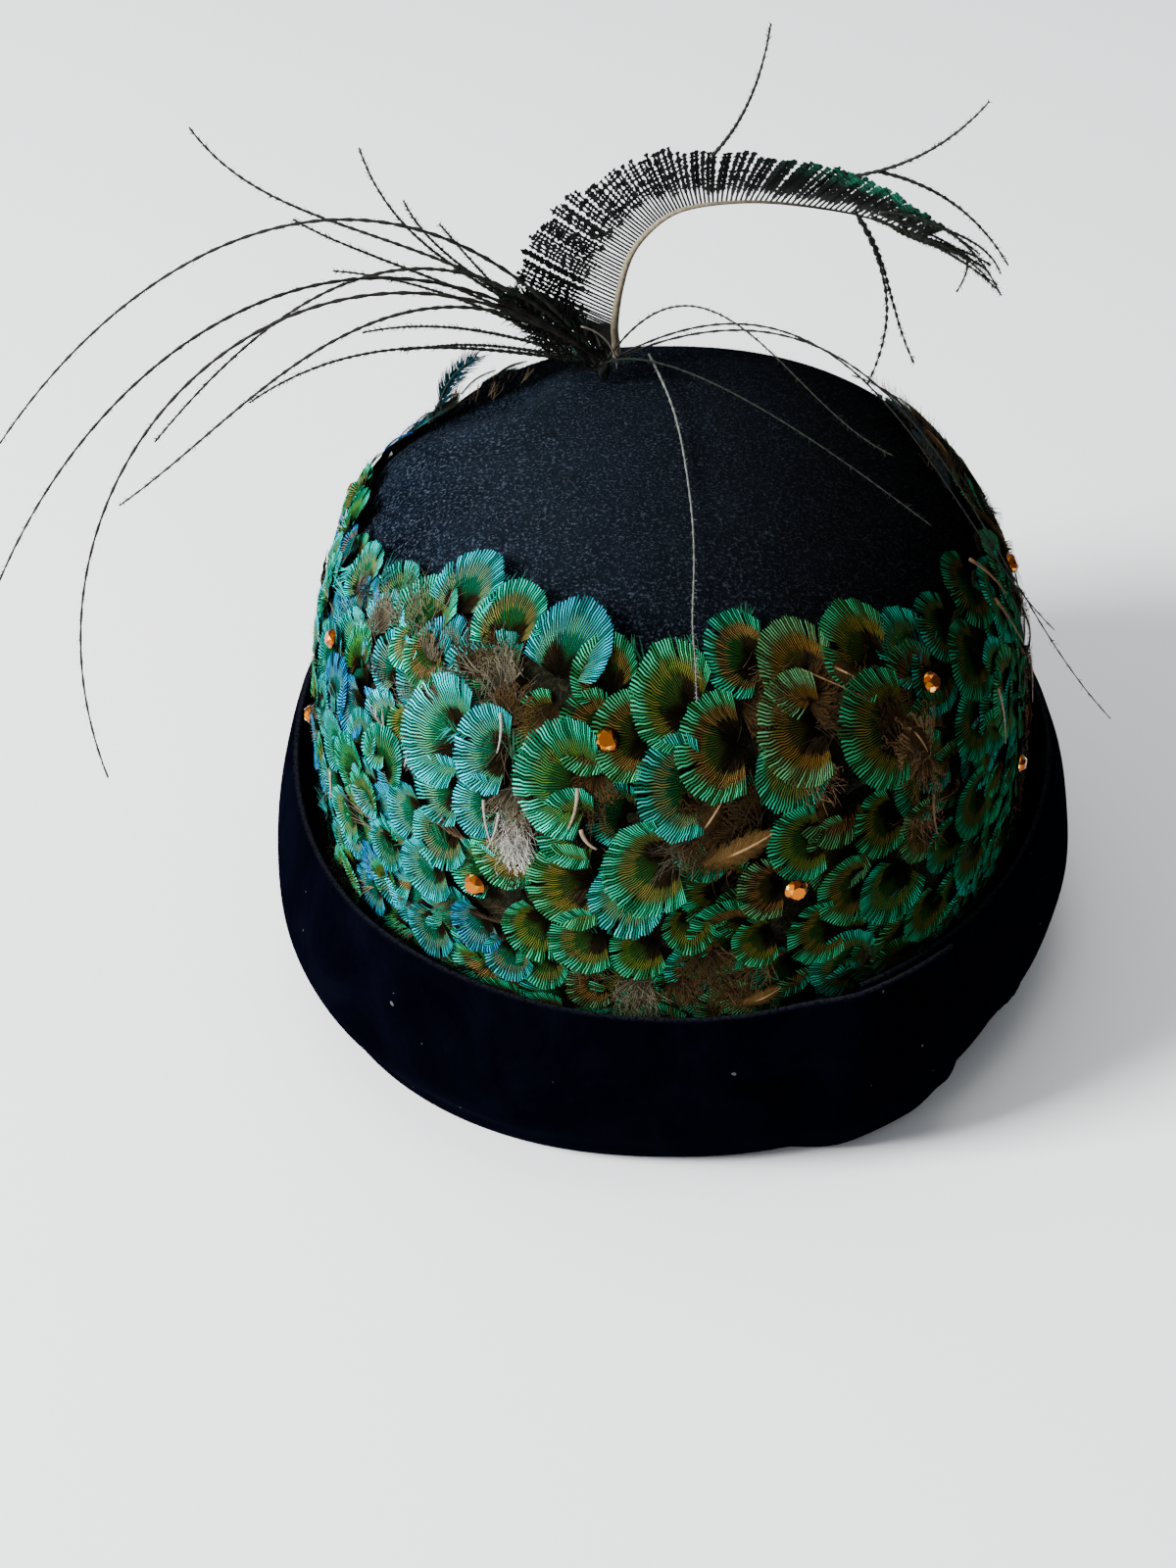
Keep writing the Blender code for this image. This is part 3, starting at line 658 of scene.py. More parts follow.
def velvet_finish():
    """Black velvet: very dark, with a painted highlight, a paler line along the rim's fold (tint red), and a
    few specks of lint."""
    look = Finish("velvet_black_pile", Roughness=1.0, Specular_IOR_Level=0.0)
    look.set(Sheen_Weight=0.004, Sheen_Roughness=0.4, Sheen_Tint=(0.35, 0.45, 0.9, 1.0))
    rim, _, _, _ = look.tints()
    pile = look.noise(1300.0, 3.0, 0.7)
    crush = look.noise(42.0, 4.0, 0.65, distortion=0.8)
    lint = look.noise(420.0, 1.0, 0.4).between(0.79, 0.81)
    colour = look.mix(crush.between(0.35, 0.75), (0.0002, 0.0002, 0.0009), (0.0007, 0.0008, 0.0022))
    colour = look.mix(pile.between(0.60, 0.85) * 0.5, colour, (0.0026, 0.0028, 0.0048))
    # painted highlight: a paler line along the rim's fold
    colour = look.mix(rim * pile.between(0.30, 0.60), colour, (0.010, 0.011, 0.014))
    colour = look.mix(lint * 0.8, colour, (0.06, 0.06, 0.065))
    return look.set(Base_Color=colour, Normal=look.bump(crush * 0.7 + pile * 0.3, 0.35, 0.6))


def plumage_finish():
    """A small round feather, read from its own map: x runs across the fan and y from its stem to its rim.
    The barbs are stripes in x. The rim is the bird's green or blue (tint red), then comes a ring of bronze
    (tint green), and a dark green diamond in the middle of brown. Tint blue is how brightly it is drawn,
    partly its own tone and partly painted light. The lines between the barbs are painted shade, and the stem
    end is darker, partly its own brown and partly painted shade under the next feathers."""
    look = Finish("plumage_iridescent", Metallic=0.28, Specular_IOR_Level=0.0)
    look.set(Specular_Tint=(0.02, 0.6, 0.5, 1.0))
    hue, bronze, light, seed = look.tints()
    across, along = look.surface()
    warp = look.noise(2.0, 1.0, 0.5, look.vector(across * 3.0, along * 1.5 + seed * 37.0))
    lane = across * 60.0 + warp * 0.25
    number = lane.math("FLOOR")
    own = look.own(number, seed * 91.0)
    bunch = look.noise(1.0, 1.0, 0.5, look.vector(number * 0.37, seed * 53.0)).between(0.64, 0.68)
    ridge = lane.ridge()
    slit = bunch * along.between(0.45, 0.80)
    comb = ridge.above(slit * 1.1 + along.between(0.86, 1.04) * 0.95) * (1 - along.above(0.95 + own * 0.05))
    zone = along + (across - 0.5).size() * 0.16 + (own - 0.5) * 0.08
    spot = 1 - ((across - 0.5).size() * 3.6 + (along - 0.46).size() * 2.4).between(0.40, 0.85)
    ring = zone.between(0.50, 0.60) * (1 - zone.between(0.72, 0.86))
    rim = zone.between(0.68, 0.86)
    tips = look.ramp(
        hue + (own - 0.5) * 0.14 - (along - 0.84) * 0.45,
        (0.0, (0.010, 0.012, 0.40)),
        (0.10, (0.0, 0.10, 0.46)),
        (0.22, (0.0, 0.33, 0.44)),
        (0.34, (0.0, 0.39, 0.30)),
        (0.48, (0.0, 0.34, 0.12)),
        (0.64, (0.04, 0.24, 0.018)),
        (0.82, (0.12, 0.18, 0.0)),
        (1.0, (0.19, 0.10, 0.0)),
    )
    brown = look.mix(own, (0.004, 0.0022, 0.001), (0.020, 0.012, 0.005))
    inner = look.mix(spot * 0.9, brown, look.mix(0.80, tips, (0.0, 0.016, 0.008)))
    copper = look.mix(own, (0.026, 0.012, 0.004), (0.19, 0.092, 0.026))
    ringed = look.mix(ring * bronze, look.mix(ring * 0.5, inner, tips), copper)
    faint = look.mix(0.82, tips, (0.0, 0.008, 0.005))
    vivid = look.mix(own.between(0.15, 0.95), look.mix(0.18, tips, (0.0, 0.85, 0.62)), faint)
    colour = look.mix(rim, ringed, vivid)
    # painted shade: dark lines in the gaps between the barbs
    colour = look.mix((1 - ridge).between(0.20, 0.56) * 0.97, colour, (0.001, 0.0014, 0.001))
    # darker towards the stem: partly the feather's own dark base, partly painted shade under the next
    # feathers
    colour = look.mix(along.between(0.10, 0.45), look.mix(0.8, colour, (0.001, 0.001, 0.0005)), colour)
    # painted light: the colour is scaled by how brightly the feather is drawn
    lit = {0: colour, "Scale": light * 0.93 + 0.07}
    colour = look.node("ShaderNodeVectorMath", {"operation": "SCALE"}, lit)
    return look.set(
        Base_Color=colour,
        Alpha=comb,
        Roughness=0.36 + own * 0.20,
        Normal=look.bump(ridge, 0.6, 0.25),
    )


def leaf_finish():
    """A plain contour feather: x runs across it and y along it. The barbs slant from the shaft to the edge,
    whose ends are frayed. It carries its own colour, paler by the shaft."""
    look = Finish("leaf_feather", Roughness=0.6, Specular_IOR_Level=0.0)
    own_colour, red, blue, seed = look.carried_colour()
    across, along = look.surface()
    out = (across - 0.5).size() * 2
    warp = look.noise(4.0, 2.0, 0.5, look.vector(across * 2.0, along * 2.0 + seed * 31.0))
    lane = along * 44.0 - out * 12.0 + warp * 5.0
    ridge = lane.ridge()
    number = {"W": lane.math("FLOOR") + seed * 70.0}
    own = look.node("ShaderNodeTexWhiteNoise", {"noise_dimensions": "1D"}, number)
    comb = ridge.above(out.between(0.25, 1.0) * 0.95) * (1 - out.above(0.45 + own * 0.55))
    dark = look.mix(0.85, own_colour, (0.004, 0.003, 0.002))
    colour = look.mix(own * 0.5 + out * 0.3 + (1 - along) * 0.3, own_colour, dark)
    colour = look.mix((1 - ridge).between(0.3, 1.0) * 0.7, colour, dark)
    shaft = (1 - out).between(0.93, 0.96) * along.between(0.3, 0.5) * red.above(blue * 1.5)
    colour = look.mix(shaft, colour, (0.30, 0.18, 0.08))
    return look.set(Base_Color=colour, Alpha=comb, Normal=look.bump(ridge, 0.7, 0.3))


def fluff_finish():
    """Soft semi-plumes: long fine waving barbs that part more and more towards their ends, in their own
    colour."""
    look = Finish("plumage_fluff", Roughness=0.8, Specular_IOR_Level=0.0)
    own_colour, _, _, seed = look.carried_colour()
    across, along = look.surface()
    warp = look.noise(3.0, 3.0, 0.6, look.vector(across * 4.0, along * 2.5 + seed * 43.0))
    lane = across * 26.0 + warp * 6.0 * along
    number = lane.math("FLOOR")
    own = look.own(number, seed * 77.0)
    ridge = lane.ridge()
    comb = ridge.above(along.between(0.15, 1.0) * 0.72) * (1 - along.above(0.45 + own * 0.55))
    dark = look.mix(0.92, own_colour, (0.002, 0.0015, 0.001))
    shade = own * own * 0.6 + (1 - ridge).between(0.25, 0.8) * 0.5 + (1 - along.between(0.10, 0.65)) * 0.7
    colour = look.mix(shade.math("MINIMUM", 1.0), own_colour, dark)
    return look.set(Base_Color=colour, Alpha=comb, Normal=look.bump(ridge, 0.5, 0.2))


def ground_finish():
    """The feathers' hidden stems and down under the fans: dark brown and green streaks."""
    look = Finish("plumage_ground", Roughness=0.7, Specular_IOR_Level=0.0)
    streak = look.noise(420.0, 4.0, 0.7, distortion=2.0)
    patch = look.noise(60.0, 2.0, 0.5)
    green = look.mix(patch, (0.002, 0.005, 0.004), (0.006, 0.004, 0.002))
    colour = look.mix(streak.between(0.45, 0.70), green, (0.016, 0.013, 0.007))
    return look.set(Base_Color=colour, Normal=look.bump(streak, 0.8, 0.8))


def barb_finish(name, roughness=0.6):
    """Loose barbs and threads that carry their own colour, a little darker in fine flecks."""
    look = Finish(name, Roughness=roughness, Specular_IOR_Level=0.08)
    colour = look.node("ShaderNodeAttribute", {"attribute_name": "tint"}, out="Color")
    fleck = look.noise(900.0, 3.0, 0.7)
    shade = look.mix(fleck.between(0.35, 0.75), look.mix(0.5, colour, (0.0, 0.0, 0.0)), colour)
    return look.set(Base_Color=shade, Normal=look.bump(fleck, 0.3, 0.2))


def stone_finish():
    """Amber glass foiled behind: each facet (tint red) is painted lighter or darker, as painted reflections,
    the lightest nearly white as a painted glint.
    """
    look = Finish("stone_amber_foiled", Roughness=0.16, Metallic=1.0, Coat_Weight=0.12, Coat_Roughness=0.03)
    facet, _, _, _ = look.tints()
    # painted reflections: dark to bright orange facets, and a nearly white painted glint at the top
    colour = look.ramp(
        facet,
        (0.0, (0.05, 0.006, 0.0)),
        (0.35, (0.20, 0.038, 0.0)),
        (0.80, (0.42, 0.115, 0.0)),
        (0.90, (0.62, 0.26, 0.0)),
        (1.0, (1.0, 0.78, 0.30)),
    )
    return look.set(Base_Color=colour)


def floor_finish():
    """Plain pale paper, very faintly mottled."""
    look = Finish("pale_floor", Roughness=0.9, Specular_IOR_Level=0.2)
    cloud = look.noise(3.0, 3.0, 0.5)
    return look.set(Base_Color=look.mix(cloud, (0.82, 0.815, 0.81), (0.86, 0.855, 0.85)))


def make_crown():
    """One wall of felt: rings of the outer side from the top down, then of the inner side back up."""
    theta = np.linspace(0, 2 * math.pi, 220, endpoint=False)
    out_ways = 1 - np.linspace(0.0, 1.0, 120)[1:] ** 1.05
    in_ways = out_ways[::-1][::3]
    outside = felt(theta[None], out_ways[:, None])
    inside = felt(theta[None], in_ways[:, None], -FELT)
    rings = np.concatenate([outside, inside])
    points, quads, triangles = closed_skin(rings, felt(0.0, 1.0), felt(0.0, 1.0, -FELT))
    put_mesh("crown_felt", points, [quads, triangles], felt_finish(), ["crown"])


def cuff_section(angles, lapped, corner, shares):
    """The cuff's wall in section at each angle, as distance out from the crown's edge and height, on a grid
    of angles and shares of the wall's height. Where the strip laps, it is moved out along its own
    normal."""
    sides = np.cos(np.radians(angles))[:, None] ** 2
    rise = CUFF_HEIGHT * read_round(CUFF_ROUND, angles, 1)[:, None]
    reach = CUFF_SPREAD * read_round(CUFF_ROUND, angles, 2)[:, None]
    rows = read_along(CUFF_WALL, np.linspace(0, 1, 61))
    foot = (0.10 * lapped + corner)[:, None]
    heights = foot + (1 - foot) * shares[None]
    spread_sides = np.interp(heights, rows[:, 0], rows[:, 1])
    spread_back = np.interp(heights, rows[:, 0], rows[:, 2])
    out = reach * (sides * spread_sides + (1 - sides) * spread_back)
    high = VELVET / 2 + (rise - VELVET / 2) * heights
    wall = np.stack([out, high], axis=-1)
    run = unit(np.gradient(wall, axis=1))
    normal = np.stack([run[..., 1], -run[..., 0]], axis=-1)
    return wall + normal * ((VELVET + LAP_GAP) * lapped)[:, None, None], normal, heights


def cuff_creases(angles, heights):
    """How far the velvet stands in or out: slow waves, and a few slanting folds, each a dip beside a
    swell."""
    around, up = np.radians(angles)[:, None], heights
    soft = 0.35 * np.sin(5 * around + 3 * up) + 0.30 * np.sin(9 * around - 4 * up + 1.0)
    soft = soft + 0.22 * np.sin(17 * around + 7 * up + 2.0)
    fade = np.sin(np.clip(up, 0, 1) * math.pi) ** 0.7
    deep = np.zeros_like(up)
    for degrees, height, slant, length, depth in CREASES:
        across = (angles[:, None] - degrees) * 1.8 - slant * (up - height) * CUFF_HEIGHT
        along = (up - height) * CUFF_HEIGHT
        near = np.exp(-((along / length) ** 2))
        dip, swell = np.exp(-((across / 2.2) ** 2)), np.exp(-(((across - 4.5) / 3.0) ** 2))
        deep = deep - depth * near * (dip - 0.8 * swell)
    return (soft * fade + deep) * 0.8


def make_cuff():
    """One strip of velvet, its outline carried round the hat from under the lap to over it."""
    half_turn = OUT_HALF_LENGTH + CUFF_SPREAD * 0.5
    lap_turn, corner_turn = math.degrees(LAP_LENGTH / half_turn), math.degrees(LAP_CORNER / half_turn)
    first, last = LAP_ANGLE - lap_turn, LAP_ANGLE + 360.0
    ramp = 0.7 * lap_turn
    rough = np.linspace(first, last - corner_turn, 300)
    rounding = last - corner_turn * (1 - np.sin(np.linspace(0, math.pi / 2, 12)))[1:]
    angles = np.concatenate([rough, rounding])
    lapped = np.clip((angles - (last - lap_turn - ramp)) / ramp, 0.0, 1.0)
    lapped = lapped * lapped * (3 - 2 * lapped)
    turned = np.clip((angles - (last - corner_turn)) / corner_turn, 0.0, 1.0)
    corner = LAP_CORNER / CUFF_HEIGHT * (1 - np.sqrt(np.maximum(0.0, 1 - turned**2)))
    shares = np.concatenate([[0.0, 0.008], np.linspace(0.02, 1.0, 44)])
    wall, normal, heights = cuff_section(angles, lapped, corner, shares)
    wall = wall + normal * (cuff_creases(angles, heights) * np.minimum(1.0, heights * 6))[..., None]
    fold = np.linspace(0, math.pi, 7)[1:-1]
    top, ahead = wall[:, -1:], np.stack([-normal[:, -1:, 1], normal[:, -1:, 0]], axis=-1)
    half = VELVET / 2
    round_rim = top + half * (np.cos(fold)[:, None] * normal[:, -1:] + np.sin(fold)[:, None] * ahead)
    flange = lapped[:, None] * wall[:, 0, 0:1] - (1 - lapped)[:, None] * FELT
    foot_out = np.stack([flange, np.full_like(flange, VELVET)], axis=-1)
    foot_low = np.stack([flange, np.zeros_like(flange)], axis=-1)
    lift = (lapped * wall[:, 0, 1])[:, None, None] * np.array([0.0, 1.0])
    outside, inside = wall + half * normal, (wall - half * normal)[:, ::-1]
    outline = np.concatenate([foot_low + lift, outside, round_rim, inside, foot_out + lift], axis=1)
    theta = np.radians(angles)
    edge = plain_felt(theta, 0.0)
    step = plain_felt(theta + 0.01, 0.0) - plain_felt(theta - 0.01, 0.0)
    away = unit(np.stack([step[:, 1], -step[:, 0]], axis=-1))
    flat = edge[:, None, :2] + away[:, None] * outline[..., :1]
    rings = np.concatenate([flat, np.maximum(outline[..., 1:], 0.0)], axis=-1)
    count, corners = rings.shape[:2]
    points = rings.reshape(-1, 3)
    quads = grid_quads(1, count, corners, closed=True)
    caps = np.array([np.arange(corners)[::-1], (count - 1) * corners + np.arange(corners)])
    quads, _ = turned_out(points, quads, np.zeros((0, 3), int))
    place = np.arange(corners)
    tint = np.zeros((count, corners, 4))
    # tint red marks the rim's fold, where the velvet gets its painted highlight
    tint[..., 0] = np.exp(-(((place - (len(shares) + 3.0)) / 1.1) ** 2))
    finish = velvet_finish()
    put_mesh("cuff_velvet", points, [quads, caps], finish, ["cuff"], tint=tint, sharp=60.0)


def chance(seed, shape, low=0.0, high=1.0):
    """Even chance values between low and high, the same in every run for one seed."""
    return np.random.default_rng(seed).uniform(low, high, shape)


def on_left(degrees):
    """1 on the left of the back, where the photograph's light falls, and less to both sides."""
    return np.exp(-((half_turns(degrees + 150.0) / 42.0) ** 2))


def region_tone(degrees):
    """The plumage's hue, bronze and light at a place: turquoise on the left of the back, green in its
    middle, dark green to the right, and turning slowly through these on the side that the photograph
    hides. The light value is painted light, highest on the left of the back, where the lamp falls."""
    left = on_left(degrees)
    front = np.exp(-((half_turns(degrees - 100.0) / 70.0) ** 2))
    right = np.exp(-(((degrees + 15.0) / 48.0) ** 2))
    edge = np.exp(-(((degrees - 2.0) / 20.0) ** 2))
    hue = 0.60 - 0.27 * left - 0.10 * front + 0.05 * np.sin(np.radians(degrees) * 3) + 0.16 * edge
    bronze = 0.60 - 0.15 * left + 0.30 * edge
    # painted light: brightest on the left of the back, where the lamp falls
    light = 0.68 + 0.28 * left + 0.10 * right
    return hue, bronze, light


# the rows that fill in: the first and last share of the way, its step, and the pitch round the hat
FILLER_ROWS = (0.16, 0.70, 0.038)
FILLER_PITCH = 10.5
LOOSE_FANS = 54

# how far the three kinds of fan are raised: those that fill in, the key ones and the loose ones
FAN_LIFTS = (-0.4, 1.1, 1.9)


def loose_fans(count):
    """Small disordered feathers that lie over the others on the left of the back."""
    degrees = chance(15, count, -190.0, -134.0)
    ways = chance(16, count, 0.20, 0.60)
    sizes, turns = chance(17, count, 5.0, 8.0), chance(18, count, -70.0, 120.0)
    hue = chance(19, count, 0.04, 0.66)
    light = chance(20, count, 0.45, 1.1)
    return np.stack([degrees, ways, sizes, turns, hue, chance(11, count, 0.0, 0.8), light], axis=-1)


def fan_places():
    """The key feathers, and others on staggered rows wherever no key feather lies close."""
    keys = np.array(KEY_FANS, float)
    rows = []
    for i, level in enumerate(np.arange(*FILLER_ROWS)):
        plan = np.hypot(*plain_felt(np.linspace(0, 2 * math.pi, 73), level)[:, :2].T).mean()
        count = round(2 * math.pi * plan / FILLER_PITCH)
        degrees = np.arange(count) * 360.0 / count + (i % 2) * 180.0 / count - 180.0
        degrees = degrees + chance(10 + i, count, -2.2, 2.2)
        ways = level + chance(40 + i, count, -0.012, 0.012)
        sizes = chance(70 + i, count, 7.6, 10.8)
        turns = chance(100 + i, count, -38.0, 38.0)
        hue, bronze, light = region_tone(degrees)
        hue = hue + chance(130 + i, count, -0.20, 0.20)
        bronze = bronze + chance(160 + i, count, -0.4, 0.45)
        light = light * chance(190 + i, count, 0.50, 1.20)
        rows.append(np.stack([degrees, ways, sizes, turns, hue, bronze, light], axis=-1))
    filler = np.concatenate(rows)
    foot = np.interp(BAND_FOOT, HIGH, WAY)
    edge = read_round(BAND_EDGE, filler[:, 0])
    ahead = np.exp(-(((filler[:, 0] - 85.0) / 45.0) ** 4))
    filler = filler[(filler[:, 1] > foot + 0.01) & (filler[:, 1] < edge - 0.03 - 0.06 * ahead)]
    near_edge = 1 - np.clip((read_round(BAND_EDGE, filler[:, 0]) - filler[:, 1]) / 0.12, 0, 1)
    near_foot = 1 - np.clip((filler[:, 1] - foot) / 0.16, 0, 1)
    filler[:, 3] += 45.0 * near_edge - 35.0 * near_foot
    apart_round = (filler[:, None, 0] - keys[None, :, 0]) * 1.6
    apart_up = (filler[:, None, 1] - keys[None, :, 1]) * WAY_LENGTH
    close = (np.hypot(apart_round, apart_up) < keys[None, :, 2] * 0.95).any(axis=1)
    filler = filler[~close]
    kinds = (filler, keys, loose_fans(LOOSE_FANS))
    lift = np.repeat(FAN_LIFTS, [len(kind) for kind in kinds])
    places = np.concatenate(kinds)
    places[:, 4:6] = np.clip(places[:, 4:6], 0.0, 1.0)
    # painted light: feathers on the left of the back are drawn brighter, where the lamp falls
    places[:, 6] = np.clip(places[:, 6] * (1.0 + 0.55 * on_left(places[:, 0])), 0.05, 1.8)
    return places, lift


def plan_radius(theta, way):
    """How far a place on the felt is from the hat's axis, seen from above."""
    return np.linalg.norm(plain_felt(theta, way)[..., :2], axis=-1)


def turned(ahead, aside, turn):
    """Steps ahead and aside of a turn, as steps to the left and up."""
    return ahead * np.cos(turn) - aside * np.sin(turn), ahead * np.sin(turn) + aside * np.cos(turn)


def sheet_parts(points, across, along, tone):
    """The points, faces, map and colours of sheets that are grids of points, with one tone for each."""
    uv = np.stack([across + 0 * points[..., 0], along + 0 * points[..., 0]], axis=-1)
    tint = np.broadcast_to(tone[:, None, None], (*points.shape[:3], 4))
    return points.reshape(-1, 3), grid_quads(*points.shape[:3]), uv.reshape(-1, 2), tint.reshape(-1, 4)


FAN_PITCH = 11.5  # the radius of a fan whose map is one unit wide


def fan_sheets(places, lift, columns=11, opening=84.0):
    """Round feathers as polar grids about their stems. The rim is a circle of radius r whose middle lies
    0.6 r ahead of the stem: 0.6 r cos(a) + r sqrt(1 - 0.36 sin(a)^2). At a share s of the way out each
    stands r (0.38 s - 0.11 s^3) above its stem, so that its rim lies over the next one's stem."""
    count = len(places)
    degrees, way, size, turn = (places[:, i][:, None, None] for i in range(4))
    across = np.linspace(-1, 1, columns)[None, None]
    out = np.array([0.04, 0.32, 0.60, 0.82, 1.0])[None, :, None]
    a = np.radians(opening) * across
    rim = 0.6 * np.cos(a) + np.sqrt(1 - 0.36 * np.sin(a) ** 2)
    wobble = chance(7, (count, 1, columns), 0.965, 1.03)
    ahead = out * rim * wobble * np.cos(a) - 0.6
    aside = out * rim * wobble * np.sin(a)
    left, up = turned(ahead, aside, np.radians(turn))
    left, up = size * left, size * up
    seed = chance(8, (count, 1, 1))
    ruffle = 0.25 * np.sin(4.2 * a + seed * 40) * out**2 + 0.7 * (seed - 0.5)
    height = 0.8 + size * (0.38 * out - 0.11 * out**3) + ruffle + lift[:, None, None]
    theta = np.radians(degrees)
    plan = plan_radius(theta, way)
    points = felt(theta - left / plan, np.clip(way + up / WAY_LENGTH, 0.02, 0.95), np.maximum(height, 0.6))
    wide = 0.5 + across / 2 * size / FAN_PITCH
    tone = np.concatenate([places[:, 4:7], seed[:, :, 0]], axis=1)
    return sheet_parts(points, wide, out, tone)


def laid_lines(degrees, way, turn, length, bend, low, high, steps=5):
    """Lines laid over the felt: each heads off at its turn from the left, bends steadily along its length,
    and goes from a low lift to a high one. It returns the lines and the felt's normal along them."""
    t = np.linspace(0, 1, steps)[None]
    heading = np.radians(turn)[:, None] + np.radians(bend)[:, None] * t
    step = length[:, None] / (steps - 1)
    theta = np.radians(degrees)[:, None]
    left = np.cumsum(np.cos(heading) * step, axis=1) - np.cos(heading[:, :1]) * step
    up = np.cumsum(np.sin(heading) * step, axis=1) - np.sin(heading[:, :1]) * step
    theta = theta - left / plan_radius(theta, way[:, None])
    ways = np.clip(way[:, None] + up / WAY_LENGTH, 0.01, 0.97)
    lift = low[:, None] + (high - low)[:, None] * t
    return felt(theta, ways, lift), felt_normal(theta, ways)


def laid_ribbons(lines, normals, widths, tones):
    """Flat ribbons along laid lines, lying as the felt does, with a colour for each."""
    run = unit(np.gradient(lines, axis=1))
    taper = np.linspace(1.0, 0.25, lines.shape[1])[None]
    points, quads, uv = ribbons(lines, widths[:, None] * taper, unit(np.cross(run, normals)))
    return points, [quads], uv, colours(tones, 2 * lines.shape[1])


TONES = {
    "grey": (0.080, 0.068, 0.042),
    "white": (0.30, 0.28, 0.24),
    "brown": (0.032, 0.018, 0.0065),
    "beige": (0.120, 0.068, 0.030),
    "cream": (0.24, 0.19, 0.12),
    "gold": (0.11, 0.060, 0.018),
    "dark": (0.003, 0.003, 0.002),
    "green": (0.003, 0.085, 0.035),
    "teal": (0.003, 0.075, 0.070),
    "blue": (0.004, 0.085, 0.32),
    "cyan": (0.0, 0.26, 0.24),
    "slate": (0.010, 0.021, 0.028),
    "umber": (0.050, 0.031, 0.014),
}

# the tufts of loose barbs: how many there are, how many of them are on the left, and their barbs and tones
LOOSE_TUFTS = 150
LEFT_TUFTS = 100
LOOSE_BARBS = 13
LEFT_TONES = ("cyan", "grey", "green", "umber", "dark", "grey", "green", "white", "cyan", "umber")
RIGHT_TONES = ("green", "dark", "brown", "umber")

DOWN = (
    # degrees round, way up, spread, turn from the left, opening, length, hairs, tone
    (-142, 0.62, 6.0, 70, 60, 8.0, 70, "grey"),
    (-133, 0.56, 7.0, 20, 60, 8.0, 60, "grey"),
    (-126, 0.61, 7.0, 80, 70, 9.0, 70, "brown"),
    (-120, 0.60, 6.0, 60, 70, 9.0, 60, "grey"),
    (-116, 0.57, 6.0, -60, 70, 8.0, 50, "brown"),
    (-115, 0.47, 4.0, -80, 45, 10.0, 110, "white"),
    (-112, 0.50, 5.0, -60, 60, 8.0, 60, "grey"),
    (-104, 0.51, 4.0, -80, 60, 7.0, 40, "brown"),
    (-86, 0.47, 6.0, 0, 60, 11.0, 160, "brown"),
    (-82, 0.50, 6.0, 40, 60, 9.0, 110, "brown"),
    (-90, 0.46, 4.0, -20, 50, 8.0, 60, "grey"),
    (-78, 0.62, 5.0, -150, 60, 8.0, 90, "brown"),
    (-66, 0.60, 5.0, 190, 50, 10.0, 120, "brown"),
    (-54, 0.52, 4.0, 60, 110, 8.0, 190, "beige"),
    (-56, 0.55, 6.0, 60, 70, 9.0, 110, "brown"),
    (-71, 0.53, 4.0, -90, 90, 7.0, 110, "beige"),
    (-54, 0.45, 4.0, -80, 70, 9.0, 70, "beige"),
    (-86, 0.30, 7.0, -90, 80, 9.0, 150, "brown"),
    (-80, 0.28, 6.0, -60, 80, 8.0, 90, "gold"),
    (-96, 0.26, 6.0, -60, 80, 8.0, 90, "grey"),
    (-103, 0.30, 6.0, -60, 80, 7.0, 60, "brown"),
    (-168, 0.36, 9.0, 200, 70, 7.0, 90, "white"),
    (-165, 0.26, 9.0, 200, 70, 7.0, 110, "white"),
    (-156, 0.20, 8.0, -90, 60, 8.0, 90, "white"),
    (-146, 0.24, 7.0, -90, 60, 7.0, 60, "grey"),
    (174, 0.46, 8.0, 170, 70, 7.0, 60, "grey"),
    (-150, 0.58, 6.0, 90, 60, 7.0, 50, "grey"),
    (2, 0.56, 7.0, 90, 50, 11.0, 90, "brown"),
    (-8, 0.52, 8.0, -90, 40, 14.0, 110, "brown"),
    (-12, 0.45, 8.0, -90, 40, 14.0, 110, "beige"),
    (-16, 0.36, 8.0, -90, 40, 13.0, 110, "brown"),
    (-20, 0.28, 8.0, -90, 50, 11.0, 90, "beige"),
    (-30, 0.22, 8.0, -80, 60, 9.0, 80, "grey"),
    (6, 0.650, 8.0, 130, 60, 5.0, 110, "umber"),
    (22, 0.650, 8.0, 130, 60, 5.0, 110, "umber"),
    (36, 0.640, 7.0, 140, 60, 5.0, 90, "umber"),
    (150, 0.610, 7.0, 40, 60, 4.0, 60, "umber"),
    (138, 0.680, 7.0, 30, 50, 4.0, 50, "umber"),
)

